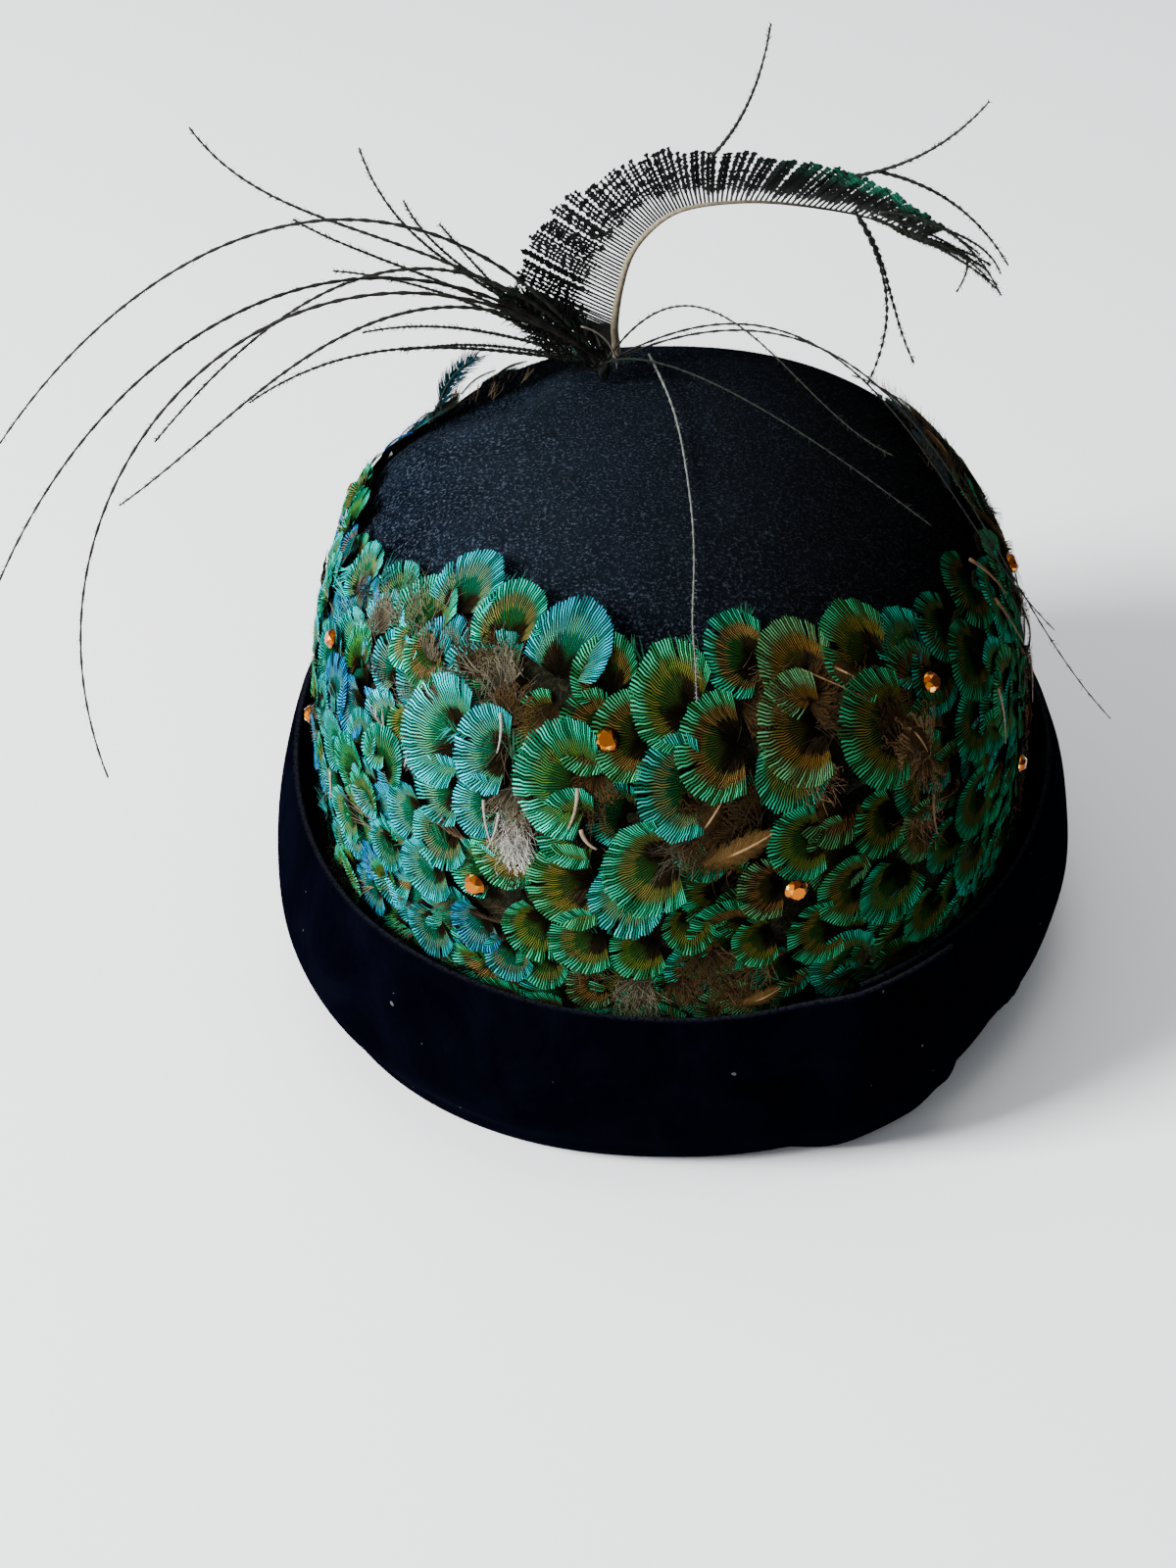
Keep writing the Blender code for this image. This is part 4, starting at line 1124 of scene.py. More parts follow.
FLUFF = (
    # degrees round, way up, radius, tip's turn up from the left, tone
    (-136, 0.60, 9.0, 60, "grey"),
    (-131, 0.57, 8.0, 20, "grey"),
    (-127, 0.62, 8.5, 90, "brown"),
    (-121, 0.62, 8.0, 70, "grey"),
    (-118, 0.59, 8.0, 120, "brown"),
    (-112, 0.58, 9.0, -70, "brown"),
    (-115, 0.49, 9.0, -85, "grey"),
    (-114, 0.44, 8.0, -80, "white"),
    (-111, 0.50, 8.0, -60, "brown"),
    (-103, 0.53, 8.0, -80, "brown"),
    (-86, 0.50, 11.0, 10, "brown"),
    (-84, 0.47, 10.0, -10, "brown"),
    (-81, 0.51, 9.0, 40, "brown"),
    (-90, 0.47, 8.0, -20, "brown"),
    (-78, 0.61, 9.0, -160, "brown"),
    (-67, 0.61, 10.0, 190, "brown"),
    (-60, 0.61, 9.0, 150, "brown"),
    (-54, 0.53, 11.0, 60, "beige"),
    (-53, 0.50, 9.0, -60, "beige"),
    (-56, 0.56, 9.0, 100, "brown"),
    (-71, 0.54, 8.0, -90, "beige"),
    (-54, 0.45, 8.0, -80, "beige"),
    (-86, 0.31, 10.0, -90, "brown"),
    (-82, 0.27, 9.0, -60, "brown"),
    (-90, 0.27, 8.0, -100, "brown"),
    (-96, 0.27, 8.0, -60, "grey"),
    (-103, 0.31, 8.0, -60, "brown"),
    (-168, 0.37, 8.0, 200, "grey"),
    (-165, 0.27, 8.0, 200, "grey"),
    (-156, 0.21, 8.0, -90, "grey"),
    (-148, 0.60, 8.0, 100, "grey"),
    (-152, 0.52, 7.0, 60, "brown"),
    (-146, 0.44, 7.0, 40, "grey"),
    (174, 0.48, 8.0, 170, "grey"),
    (166, 0.56, 8.0, 100, "grey"),
    (3, 0.58, 9.0, 100, "brown"),
    (-4, 0.54, 10.0, -90, "brown"),
    (-9, 0.50, 10.0, -80, "beige"),
    (-13, 0.44, 10.0, -90, "brown"),
    (-16, 0.37, 10.0, -100, "beige"),
    (-20, 0.30, 9.0, -90, "brown"),
    (-30, 0.24, 8.0, -80, "brown"),
)

SHAFTS = (
    # degrees round, way up, turn from the left, length, bend, width, tone
    (-69.5, 0.635, 207, 16.0, 10, 0.50, "beige"),
    (-105.5, 0.525, 262, 9.0, 30, 1.00, "cream"),
    (-104.6, 0.482, 255, 6.0, -60, 1.10, "cream"),
    (-119.0, 0.580, 235, 8.0, 40, 0.80, "white"),
    (-152.0, 0.380, 250, 8.0, 30, 0.90, "white"),
    (-119.0, 0.490, 262, 10.0, -20, 0.80, "white"),
    (-116.5, 0.480, 270, 9.0, 25, 0.70, "white"),
    (-133.0, 0.520, 245, 7.0, 30, 0.70, "white"),
    (-23.0, 0.633, 242, 13.0, 20, 0.80, "beige"),
    (-24.0, 0.585, 262, 15.0, -15, 0.70, "beige"),
    (-34.0, 0.520, 265, 13.0, 20, 0.60, "cream"),
    (-52.0, 0.470, 285, 10.0, -30, 0.70, "beige"),
    (-14.0, 0.460, 262, 14.0, 10, 0.60, "cream"),
)

SPIKES = (
    # degrees round, way up, turn from the left, opening, length, barbs, tone
    (-52, 0.60, 86, 3, 14.0, 3, "green"),
    (-51, 0.60, 96, 3, 12.0, 2, "green"),
    (-78, 0.69, 130, 30, 6.0, 12, "green"),
    (-126, 0.68, 90, 24, 9.0, 10, "green"),
    (-130, 0.68, 100, 20, 8.0, 8, "teal"),
    (-115, 0.35, 100, 26, 9.0, 12, "dark"),
    (-113, 0.38, 80, 20, 8.0, 8, "dark"),
    (-46, 0.60, 120, 40, 8.0, 16, "teal"),
    (-44, 0.62, 60, 30, 7.0, 12, "dark"),
    (-141, 0.66, 120, 30, 7.0, 14, "green"),
    (-98, 0.65, 70, 26, 7.0, 8, "green"),
    (-88, 0.66, 60, 30, 6.0, 8, "green"),
    (158, 0.575, 70, 16, 8.0, 16, "blue"),
    (163, 0.560, 80, 14, 9.0, 16, "blue"),
    (153, 0.600, 60, 20, 8.0, 14, "teal"),
    (169, 0.555, 85, 12, 9.0, 14, "blue"),
    (148, 0.615, 80, 24, 9.0, 26, "teal"),
    (145, 0.625, 85, 30, 8.0, 26, "grey"),
    (151, 0.605, 80, 24, 9.0, 26, "cyan"),
    (144, 0.640, 60, 24, 7.0, 16, "umber"),
    (139, 0.690, 30, 20, 4.0, 10, "umber"),
    (133, 0.730, 30, 18, 4.0, 8, "umber"),
    (-160, 0.575, 95, 30, 9.0, 18, "grey"),
    (-155, 0.610, 100, 26, 8.0, 16, "teal"),
    (-148, 0.625, 90, 30, 8.0, 16, "green"),
    (-150, 0.560, 90, 30, 9.0, 16, "grey"),
    (-165, 0.480, 90, 24, 9.0, 18, "blue"),
    (-170, 0.560, 90, 20, 9.0, 18, "teal"),
    (145.0, 0.588, 90, 24, 6.0, 26, "slate"),
    (141.0, 0.588, 85, 26, 6.0, 26, "umber"),
    (148.0, 0.580, 80, 24, 6.0, 26, "blue"),
    (136.0, 0.585, 70, 26, 6.0, 24, "grey"),
)

LEAVES = (
    # degrees round, way up, length, width, turn from the left, lift, tone
    (-87.0, 0.447, 19.0, 10.0, 160, 4.0, "gold"),
    (-88.5, 0.475, 12.0, 8.0, 130, 4.0, "brown"),
    (-81.0, 0.250, 11.0, 7.0, 160, 4.0, "gold"),
    (-66.0, 0.640, 11.0, 7.0, 215, 4.0, "brown"),
    (-55.0, 0.560, 10.0, 7.0, 240, 4.0, "brown"),
    (-10.0, 0.500, 13.0, 6.0, 262, 4.0, "brown"),
    (-18.0, 0.420, 12.0, 6.0, 255, 4.0, "brown"),
    (-2.0, 0.655, 24.0, 9.0, 168, 2.0, "slate"),
    (12.0, 0.660, 24.0, 9.0, 172, 2.0, "slate"),
    (27.0, 0.655, 22.0, 9.0, 175, 2.0, "slate"),
    (5.0, 0.640, 20.0, 7.0, 168, 2.6, "umber"),
    (20.0, 0.640, 20.0, 7.0, 172, 2.6, "umber"),
    (-3.0, 0.620, 24.0, 7.0, 262, 3.0, "umber"),
    (-7.0, 0.530, 24.0, 7.0, 265, 3.0, "beige"),
    (-11.0, 0.440, 24.0, 7.0, 265, 3.0, "umber"),
    (-14.0, 0.350, 22.0, 7.0, 265, 3.0, "beige"),
    (-1.0, 0.560, 26.0, 8.0, 268, 3.0, "umber"),
    (-6.0, 0.450, 26.0, 8.0, 268, 3.0, "umber"),
    (-19.0, 0.340, 18.0, 6.0, 262, 3.0, "slate"),
    (160.0, 0.530, 15.0, 7.5, 85, 2.6, "blue"),
    (165.0, 0.500, 16.0, 7.5, 90, 2.6, "blue"),
    (156.0, 0.560, 12.0, 6.0, 70, 2.6, "blue"),
    (172.0, 0.480, 15.0, 7.5, 95, 2.6, "teal"),
    (178.0, 0.510, 14.0, 7.5, 90, 2.6, "blue"),
    (-177.0, 0.430, 15.0, 7.5, 95, 2.6, "blue"),
    (146.0, 0.570, 9.0, 5.0, 70, 3.0, "slate"),
    (150.0, 0.560, 10.0, 5.0, 60, 3.0, "blue"),
    (139.0, 0.575, 10.0, 5.0, 80, 3.0, "umber"),
    (132.0, 0.570, 12.0, 5.0, 40, 3.0, "slate"),
    (154.0, 0.550, 10.0, 5.0, 75, 3.0, "teal"),
    (125.0, 0.570, 12.0, 5.0, 30, 3.0, "umber"),
)


def barb_cluster(start, way, turns, lengths, bends, low, high, width, tones):
    """Loose barbs as ribbons that rise from low to high. Way, low and width may be one value for all."""
    way, low, width = (np.broadcast_to(value, len(start)) for value in (way, low, width))
    lines, normals = laid_lines(start, way, turns, lengths, bends, low, high)
    return laid_ribbons(lines, normals, width, tones)


def down_cluster(i, degrees, way, spread, turn, opening, length, hairs, tone):
    """Soft down: short curved hairs that start at chance places round the cluster's middle."""
    away = chance(300 + i, (2, hairs), -1.0, 1.0) * spread
    plan = float(plan_radius(math.radians(degrees), way))
    start = degrees + np.degrees(away[0] / plan)
    ways = way + away[1] / WAY_LENGTH
    turns = turn + chance(340 + i, hairs, -opening, opening)
    lengths = length * chance(380 + i, hairs, 0.35, 1.0)
    bends = chance(420 + i, hairs, -60.0, 60.0)
    high = chance(460 + i, hairs, 3.2, 5.4)
    tones = np.array(TONES[tone]) * chance(500 + i, (hairs, 1), 0.45, 1.15)
    widths = chance(540 + i, hairs, 0.14, 0.30)
    return barb_cluster(start, ways, turns, lengths, bends, 2.6, high, widths, tones)


def spike_cluster(i, degrees, way, turn, opening, length, hairs, tone):
    """Single barbs that leave one foot, spread to both sides of their turn."""
    start = np.full(hairs, float(degrees)) + chance(700 + i, hairs, -1.2, 1.2)
    turns = turn + chance(720 + i, hairs, -opening, opening)
    lengths = length * chance(740 + i, hairs, 0.6, 1.0)
    bends = chance(760 + i, hairs, -25.0, 25.0)
    high = chance(780 + i, hairs, 3.0, 5.0)
    tones = np.array(TONES[tone]) * chance(800 + i, (hairs, 1), 0.5, 1.4)
    return barb_cluster(start, way, turns, lengths, bends, 2.2, high, 0.40, tones)


def loose_cluster(i):
    """Barbs that came loose, at a chance place: more on the left of the back, and drawn brighter there as
    painted light.
    """
    left, hairs = i < LEFT_TUFTS, LOOSE_BARBS
    first, last = (-192.0, -122.0) if left else (-122.0, 12.0)
    start = chance(1100 + i, 1, first, last) + chance(1500 + i, hairs, -2.0, 2.0)
    way = float(chance(1300 + i, 1, 0.20, 0.61)[0])
    opening = float(chance(1700 + i, 1, 6.0, 20.0)[0])
    turns = chance(1900 + i, 1, -60.0, 120.0) + chance(2100 + i, hairs, -opening, opening)
    lengths = chance(2300 + i, 1, 4.0, 8.0) * chance(2500 + i, hairs, 0.5, 1.0)
    bends = chance(2700 + i, hairs, -25.0, 25.0)
    high = chance(2900 + i, hairs, 3.6, 5.6)
    names = LEFT_TONES if left else RIGHT_TONES
    tone = np.array(TONES[names[i % len(names)]])
    # painted light: brighter on the left of the back, darker elsewhere
    tones = tone * chance(3100 + i, (hairs, 1), 0.4, 1.4) * (1.2 if left else 0.7)
    return barb_cluster(start, way, turns, lengths, bends, 2.6, high, 0.32, tones)


def make_down():
    """Clusters of soft down between the feathers, their pale shafts, and single dark or green barbs."""
    parts = [down_cluster(i, *row) for i, row in enumerate(DOWN)]
    parts += [spike_cluster(i, *row) for i, row in enumerate(SPIKES)]
    parts += [loose_cluster(i) for i in range(LOOSE_TUFTS)]
    points, faces, uv, tint = join(parts)
    put_mesh("down_and_barbs", points, faces, barb_finish("down", 0.7), uv=uv, tint=tint)
    steps, sides = 9, 5
    shafts = np.array([row[:6] for row in SHAFTS], float)
    low, high = np.full(len(shafts), 4.4), np.full(len(shafts), 4.9)
    lines, _ = laid_lines(*shafts.T[:5], low, high, steps)
    taper = np.linspace(0.55, 0.22, steps)[None] * shafts[:, 5:6]
    points, faces, uv = tubes(lines, taper, sides, (0.1, 0.2, 1.0))
    tint = colours(np.array([TONES[row[6]] for row in SHAFTS]), steps * sides)
    put_mesh("pale_shafts", points, faces, barb_finish("shafts", 0.5), uv=uv, tint=tint)


def make_leaves():
    """Leaf-shaped feathers: a grid along and across, as wide as sin(pi s)^0.6 of its width, cupped by the
    square of the distance from its shaft."""
    rows = np.array([row[:6] for row in LEAVES], float)
    degrees, way, length, width, turn, lift = (rows[:, i][:, None, None] for i in range(6))
    s, q = np.linspace(0.0, 1.0, 9)[None, :, None], np.linspace(-1.0, 1.0, 7)[None, None]
    half = width / 2 * (0.06 + 0.94 * np.sin(math.pi * (0.04 + 0.94 * s)) ** 0.6)
    left, up = turned(length * s, half * q, np.radians(turn))
    theta = np.radians(degrees)
    height = lift + 0.9 * np.sin(math.pi * s) - 0.9 * q**2
    points = felt(theta - left / plan_radius(theta, way), way + up / WAY_LENGTH, height)
    tone = np.array([(*TONES[row[6]], 0.1 + 0.13 * i) for i, row in enumerate(LEAVES)])
    points, quads, uv, tint = sheet_parts(points, (q + 1) / 2, s, tone)
    put_mesh("leaf_feathers", points, [quads], leaf_finish(), uv=uv, tint=tint)


def make_fluff():
    """Soft semi-plumes that stand out between the round feathers."""
    rows = np.array([(*row[:4], *TONES[row[4]]) for row in FLUFF], float)
    rows[:, 4:7] *= chance(990, (len(rows), 1), 0.7, 1.2)
    points, quads, uv, tint = fan_sheets(rows, np.full(len(rows), 1.6), 9, 52.0)
    put_mesh("soft_plumes", points, [quads], fluff_finish(), uv=uv, tint=tint)


NAP_FIBRES = 15000


def make_nap():
    """Short loose fibres all over the bare felt, which catch the light and soften its outline."""
    count = NAP_FIBRES
    degrees = chance(900, count, -180.0, 180.0)
    edge = read_round(BAND_EDGE, degrees) - 0.06
    way = edge + (0.985 - edge) * (1 - np.sqrt(chance(901, count)))
    turns, bends = chance(902, count, 0.0, 360.0), chance(903, count, -90.0, 90.0)
    lengths, high = chance(904, count, 0.5, 1.7), chance(905, count, 0.1, 1.1) ** 2
    lines, normals = laid_lines(degrees, way, turns, lengths, bends, np.zeros(count), high, 3)
    # painted shade: the fibres are drawn darker towards the right of the hat, as the felt is
    painted_shade_right = np.clip((lines[:, 0, :1] + 25.0) / 75.0, 0.0, 1.0)
    tones = np.array([[0.018, 0.023, 0.032]]) * chance(906, (count, 1), 0.3, 1.5) ** 2 * (1 - 0.85 * painted_shade_right)
    points, faces, uv, tint = laid_ribbons(lines, normals, np.full(count, 0.05), tones)
    put_mesh("felt_fibres", points, faces, barb_finish("fibres", 0.9), uv=uv, tint=tint)


def make_plumage():
    """The round feathers, and under them a skin of stems and down from the band's foot to its edge."""
    places, lift = fan_places()
    points, quads, uv, tint = fan_sheets(places, lift)
    finish = plumage_finish()
    put_mesh("plumage_fans", points, [quads], finish, ["feather_band"], uv=uv, tint=tint)
    theta = np.linspace(0, 2 * math.pi, 200, endpoint=False)
    foot = np.interp(BAND_FOOT, HIGH, WAY)
    edge = read_round(BAND_EDGE, np.degrees(theta)) - 0.035 + 0.008 * np.sin(theta * 31)
    shares = np.linspace(0, 1, 40)[:, None]
    over = felt(theta[None], foot + (edge - foot)[None] * shares, 0.9)
    under = felt(theta[None], foot + (edge - foot)[None] * shares[::-1], 0.35)
    points, quads, _ = closed_skin(np.concatenate([over, under]))
    put_mesh("plumage_ground", points, [quads], ground_finish())


def sword_foot():
    """Where the quill starts: on the felt, raised by the gap and part of its own thickness."""
    return felt(math.radians(QUILL_PLACE[0]), QUILL_PLACE[1], CLEARANCE + QUILL * 0.6)


def knot_place():
    """The knot's middle: it rests on the felt, beside the quill towards the back of the hat."""
    root = felt(math.radians(KNOT_PLACE[0]), KNOT_PLACE[1], CLEARANCE + KNOT / 2)
    return root + np.array([0.0, -QUILL - KNOT / 2, 0.0])


def bowed_lines(roots, rows, reach, steps):
    """Cubics from each root to its end, through two points bowed away from the straight at the thirds."""
    rows = np.asarray(rows, float)[:, None]
    roots = np.asarray(roots, float).reshape(-1, 1, 3)
    flat = np.zeros_like(rows[..., 0])
    ends = roots + reach * rows[..., :3]
    third = roots + (ends - roots) / 3 + reach * np.stack([rows[..., 3], flat, rows[..., 4]], axis=-1)
    later = roots + (ends - roots) * 2 / 3 + reach * np.stack([rows[..., 5], flat, rows[..., 6]], axis=-1)
    t = np.linspace(0, 1, steps)[None, :, None]
    weights = (
        -4.5 * (t - 1 / 3) * (t - 2 / 3) * (t - 1),
        13.5 * t * (t - 2 / 3) * (t - 1),
        -13.5 * t * (t - 1 / 3) * (t - 1),
        4.5 * t * (t - 1 / 3) * (t - 2 / 3),
    )
    return sum(w * p for w, p in zip(weights, (roots, third, later, ends)))


def colours(values, count_each):
    """A colour for each strand, repeated for each of its points."""
    values = np.concatenate([values, np.ones((len(values), 1))], axis=1)
    return np.repeat(values, count_each, axis=0)


STRAYS = (
    # start right, up and out of the plane, end right, up, sideways and up at one third, at two thirds
    (0.65, 0.52, 0.0, 0.995, 0.284, 0.02, 0.035, 0.02, 0.035),
    (0.64, 0.40, 0.0, 0.975, 0.213, 0.01, 0.010, 0.01, 0.015),
    (0.64, 0.40, 0.0, 0.954, 0.232, 0.00, 0.015, 0.01, 0.020),
    (0.70, 0.42, 0.0, 0.985, 0.245, 0.01, 0.015, 0.02, 0.025),
    (0.72, 0.38, 0.0, 0.878, 0.189, 0.03, 0.010, 0.06, 0.040),
    (0.597, 0.415, 0.0, 0.667, -0.083, 0.060, -0.005, 0.058, 0.000),
    (0.597, 0.415, 0.0, 0.788, -0.027, 0.012, 0.015, -0.002, 0.016),
    (0.66, 0.41, 0.0, 0.930, 0.250, 0.00, 0.010, 0.00, 0.015),
    (0.70, 0.37, 0.0, 0.960, 0.225, 0.00, 0.000, 0.01, 0.005),
    (0.74, 0.36, 0.0, 0.970, 0.236, 0.00, 0.004, 0.00, 0.008),
    (0.68, 0.44, 0.0, 0.940, 0.262, 0.00, 0.012, 0.00, 0.012),
)
HANGING = [8, 9]  # the two that hang, counted through WISPS and then STRAYS

QUILL_STEPS = 90
SWORD_BARBS = 110
SWORD_STEPS = 76


def in_plume(right, up):
    """Steps in the plume's upright plane, given as shares of the sword feather's reach."""
    return SWORD_REACH * np.stack([right, np.zeros_like(right), up], axis=-1)


def barb_strip(base, to_tip, ahead, sway, lean, at):
    """Points at shares of the way along each barb: it leaves the quill straight, and bends ahead by its
    square."""
    at = at[..., None]
    line = base[:, None] + to_tip[:, None] * at + ahead[:, None] * (at**2 * 1.5 + sway * at**2 * 0.8)
    return line + np.array(DEPTH) * (lean * at * 1.6)


def make_sword():
    """A cream quill and a comb of barbs on its upper side. Each barb is a ribbon that is thin near the
    quill, then swells and narrows as a sine of its length, in step with its neighbours, so that light shows
    through in rows; further along the quill the gaps close."""
    foot = sword_foot()
    quill_shares = np.linspace(0, 1, QUILL_STEPS)
    rows = read_along(SWORD_LINE, quill_shares)
    line = foot + in_plume(rows[:, 0], rows[:, 1])
    radius = QUILL * np.clip(1.10 - 1.05 * quill_shares, 0.16, 1.05) / 2
    q_points, q_faces, q_uv = tubes(line[None], radius[None], 8)
    fade = np.clip((quill_shares - 0.50) / 0.25, 0, 1)[:, None]
    q_tint = colours(np.array([0.21, 0.175, 0.115]) * (1 - fade) + np.array([0.006, 0.008, 0.006]) * fade, 8)

    count, steps = SWORD_BARBS, SWORD_STEPS
    shares = np.linspace(0.012, 0.90, count)
    rows = read_along(SWORD_LINE, shares)
    base = foot + in_plume(rows[:, 0], rows[:, 1])
    to_tip = in_plume(rows[:, 2], rows[:, 3])
    early = np.clip(1 - shares / 0.35, 0, 1)[:, None]
    bundle = np.cumsum(chance(32, count) < 0.40)
    bundle_size = chance(33, count, 0.95, 1.04)[bundle][:, None]
    to_tip = to_tip * (bundle_size * chance(21, (count, 1), 0.97, 1.02) + 0.13 * early)
    middles = np.array([base[bundle == n].mean(axis=0) for n in bundle])
    to_tip = to_tip + (middles - base) * 0.16
    ahead = unit(np.gradient(base, axis=0))
    sway, lean = chance(22, (count, 1, 1), -0.5, 0.5), chance(23, (count, 1, 1), -0.5, 0.5)
    t = np.broadcast_to(np.linspace(0, 1, steps)[None], (count, steps))
    lines = barb_strip(base, to_tip, ahead, sway, lean, t)
    side = flat_side(unit(to_tip)[:, None])
    length = np.linalg.norm(to_tip, axis=1)[:, None]
    drift = np.cumsum(chance(24, (count, 1), -0.26, 0.26), axis=0)
    wander = 0.45 * np.sin(t * length * 0.9 + chance(29, (count, 1), 0.0, 6.3))
    bead = 0.5 + 0.5 * np.sin(2 * math.pi * (t * length / 1.4 + drift + wander))
    full = np.clip((shares - 0.46) / 0.20, 0, 1)[:, None]
    starts_at = 0.29 - 0.13 * full + chance(26, (count, 1), -0.08, 0.08)
    flue = np.clip((t - starts_at) / 0.12, 0, 1) * np.clip((1.03 - t) / 0.06, 0, 1)
    ragged = chance(27, (count, steps), 0.40, 1.20)
    thick = flue * ragged * (0.10 + 0.95 * full + (1.35 - 0.70 * full) * bead**1.4) * (0.80 + 0.35 * t)
    b_points, b_quads, b_uv = ribbons(lines, 0.62 - 0.24 * t + thick, side)
    shine = np.exp(-(((shares - 0.79) / 0.08) ** 2))[:, None]
    dark, green = np.array([0.0035, 0.0038, 0.0036]), np.array([0.004, 0.20, 0.105])
    line_tone = dark * (0.5 + 1.8 * chance(28, (count, 1)) ** 2)
    tone = np.repeat(line_tone, 2 * steps, axis=0).reshape(count, steps, 2, 3)
    tone = tone + 0.026 * np.clip(1.0 - t / 0.45, 0, 1)[:, :, None, None] * np.array([1.0, 0.98, 0.90])
    outer = np.clip((t - 0.64) / 0.28, 0, 1)[:, :, None, None]
    glint = shine[:, None, None] * outer * chance(30, (count, steps, 1, 1)) ** 2
    tone = tone + (green - tone) * np.clip(glint * 1.5, 0, 1)
    b_tint = np.concatenate([tone, np.ones((count, steps, 2, 1))], axis=-1).reshape(-1, 4)

    starts, wisp_rows = [], []
    for i, (row, right, rise, bow_side, bow_up) in enumerate(WISPS):
        quill = foot + in_plume(*SWORD_LINE[row][:2])
        outer = quill + in_plume(*SWORD_LINE[row][2:])
        starts.append(quill + (outer - quill) * (0.9 if rise > 0 else 0.3))
        wisp_rows.append((right, -0.02 * i - 0.02, rise, bow_side, bow_up, bow_side, bow_up))
    for i, (right, rise, out, end_right, end_up, *bows) in enumerate(STRAYS):
        starts.append(foot + SWORD_REACH * np.array([right, out, rise]))
        wisp_rows.append((end_right - right, 0.012 * (i - 3), end_up - rise, *bows))
    strands = bowed_lines(starts, wisp_rows, SWORD_REACH, 60)
    parts = [
        (q_points, q_faces, q_uv, q_tint),
        (b_points, [b_quads], b_uv, b_tint),
        *herl_parts(np.delete(strands, HANGING, axis=0), 0.38, 190, 31),
        *herl_parts(strands[HANGING], 0.40, 260, 35, beads=0.6),
    ]
    points, faces, uv, tint = join(parts)
    finish = barb_finish("sword_barbs", 0.55)
    put_mesh("sword_plume", points, faces, finish, ["sword_feather"], uv=uv, tint=tint)


def herl_parts(lines, radius, barbules, seed, pale=0.0, beads=0.28):
    """Bare barbs: beaded threads with short barbules standing out round them."""
    count, steps = lines.shape[:2]
    t = np.linspace(0, 1, steps)[None]
    beads = 1 + beads * np.sin(t * steps * 1.9 + chance(seed, (count, 1)) * 6)
    points, faces, uv = tubes(lines, radius * (1.35 - 0.75 * t) * beads, 5)
    tone = chance(seed + 1, (count, 1))
    greenish = np.array([0.0, 0.005, 0.003]) * chance(seed + 2, (count, 1))
    body = np.array([0.010, 0.009, 0.007]) * (0.7 + tone) + greenish
    body = body + pale * np.array([0.16, 0.17, 0.15])
    tint = np.repeat(np.concatenate([body, np.ones((count, 1))], axis=1), steps * 5, axis=0)
    at = np.sort(chance(seed + 3, (count, barbules), 0.02, 0.995), axis=1)
    place = at * (steps - 1)
    row = np.minimum(place.astype(int), steps - 2)
    part = (place - row)[..., None]
    which = np.arange(count)[:, None]
    start = lines[which, row] * (1 - part) + lines[which, row + 1] * part
    run = unit(lines[which, row + 1] - lines[which, row])
    away = unit(np.cross(run, chance(seed + 4, (count, barbules, 3), -1.0, 1.0)))
    heading = unit(run * 0.7 + away)
    length = chance(seed + 5, (count, barbules, 1), 0.6, 1.5)
    start, heading = start.reshape(-1, 3), heading.reshape(-1, 3)
    s = np.linspace(0, 1, 2)[None, :, None]
    hair = start[:, None] + heading[:, None] * length.reshape(-1, 1, 1) * s
    face = flat_side(heading)[:, None]
    h_points, h_quads, h_uv = ribbons(hair, np.array([0.22, 0.06])[None] + 0 * hair[..., 0], face)
    bright = 0.6 + 1.3 * chance(seed + 6, (count * barbules, 1))
    h_tint = np.repeat(np.repeat(body, barbules, axis=0) * bright, 4, axis=0)
    h_tint = np.concatenate([h_tint, np.ones((len(h_tint), 1))], axis=1)
    return [(points, faces, uv, tint), (h_points, [h_quads], h_uv, h_tint)]


BUNDLE_BARBS = 1500
BUNDLE_REACH = (-25.0, 0.0, 19.0)


def make_bundle(root):
    """The dark tufted feather beside the ball: short curled barbs close along a straight shaft, which runs
    from the root up to the left, and one pale barb."""
    count = BUNDLE_BARBS
    t = chance(950, (count, 1)) ** 0.8
    end = np.array(BUNDLE_REACH)
    across = flat_side(end)
    wide = (2.2 + 3.2 * np.sin(math.pi * t**0.8)) * chance(951, (count, 1), -1.0, 1.0)
    start = root + end * t * 0.96 + across * wide
    start = start + chance(958, (count, 3), -1.0, 1.0) * np.array([0.2, 2.0, 0.2])
    heading = unit(end) + across * (wide * 0.10 + chance(953, (count, 1), -0.75, 0.75))
    heading = unit(heading + chance(954, (count, 3), -0.5, 0.5))
    s = np.linspace(0, 1, 4)[None, :, None]
    length = chance(955, (count, 1, 1), 1.2, 4.2)
    curl = flat_side(heading)[:, None] * chance(959, (count, 1, 1), -1.4, 1.4)
    lines = start[:, None] + heading[:, None] * length * s + curl * s**2
    face = flat_side(heading)[:, None]
    points, quads, uv = ribbons(lines, 0.55 - 0.38 * s[..., 0] + 0 * lines[..., 0], face)
    tones = np.array([[0.0035, 0.0036, 0.0028]]) * chance(956, (count, 1), 0.3, 2.2)
    tones = tones + np.array([[0.020, 0.020, 0.016]]) * (chance(957, (count, 1)) > 0.93)
    tones = tones + np.array([[0.0, 0.022, 0.016]]) * (chance(960, (count, 1)) > 0.93)
    row = (0.055, 0.0, -0.070, 0.01, 0.01, 0.01, 0.01)
    pale = bowed_lines([root + np.array([-6.0, -3.0, 12.0])], [row], 170.0, 12)
    p_points, p_faces, p_uv = tubes(pale, np.full((1, 12), 0.26), 5)
    p_tint = np.array([0.10, 0.09, 0.07, 1.0])
    return [(points, [quads], uv, colours(tones, 8)), (p_points, p_faces, p_uv, p_tint)]


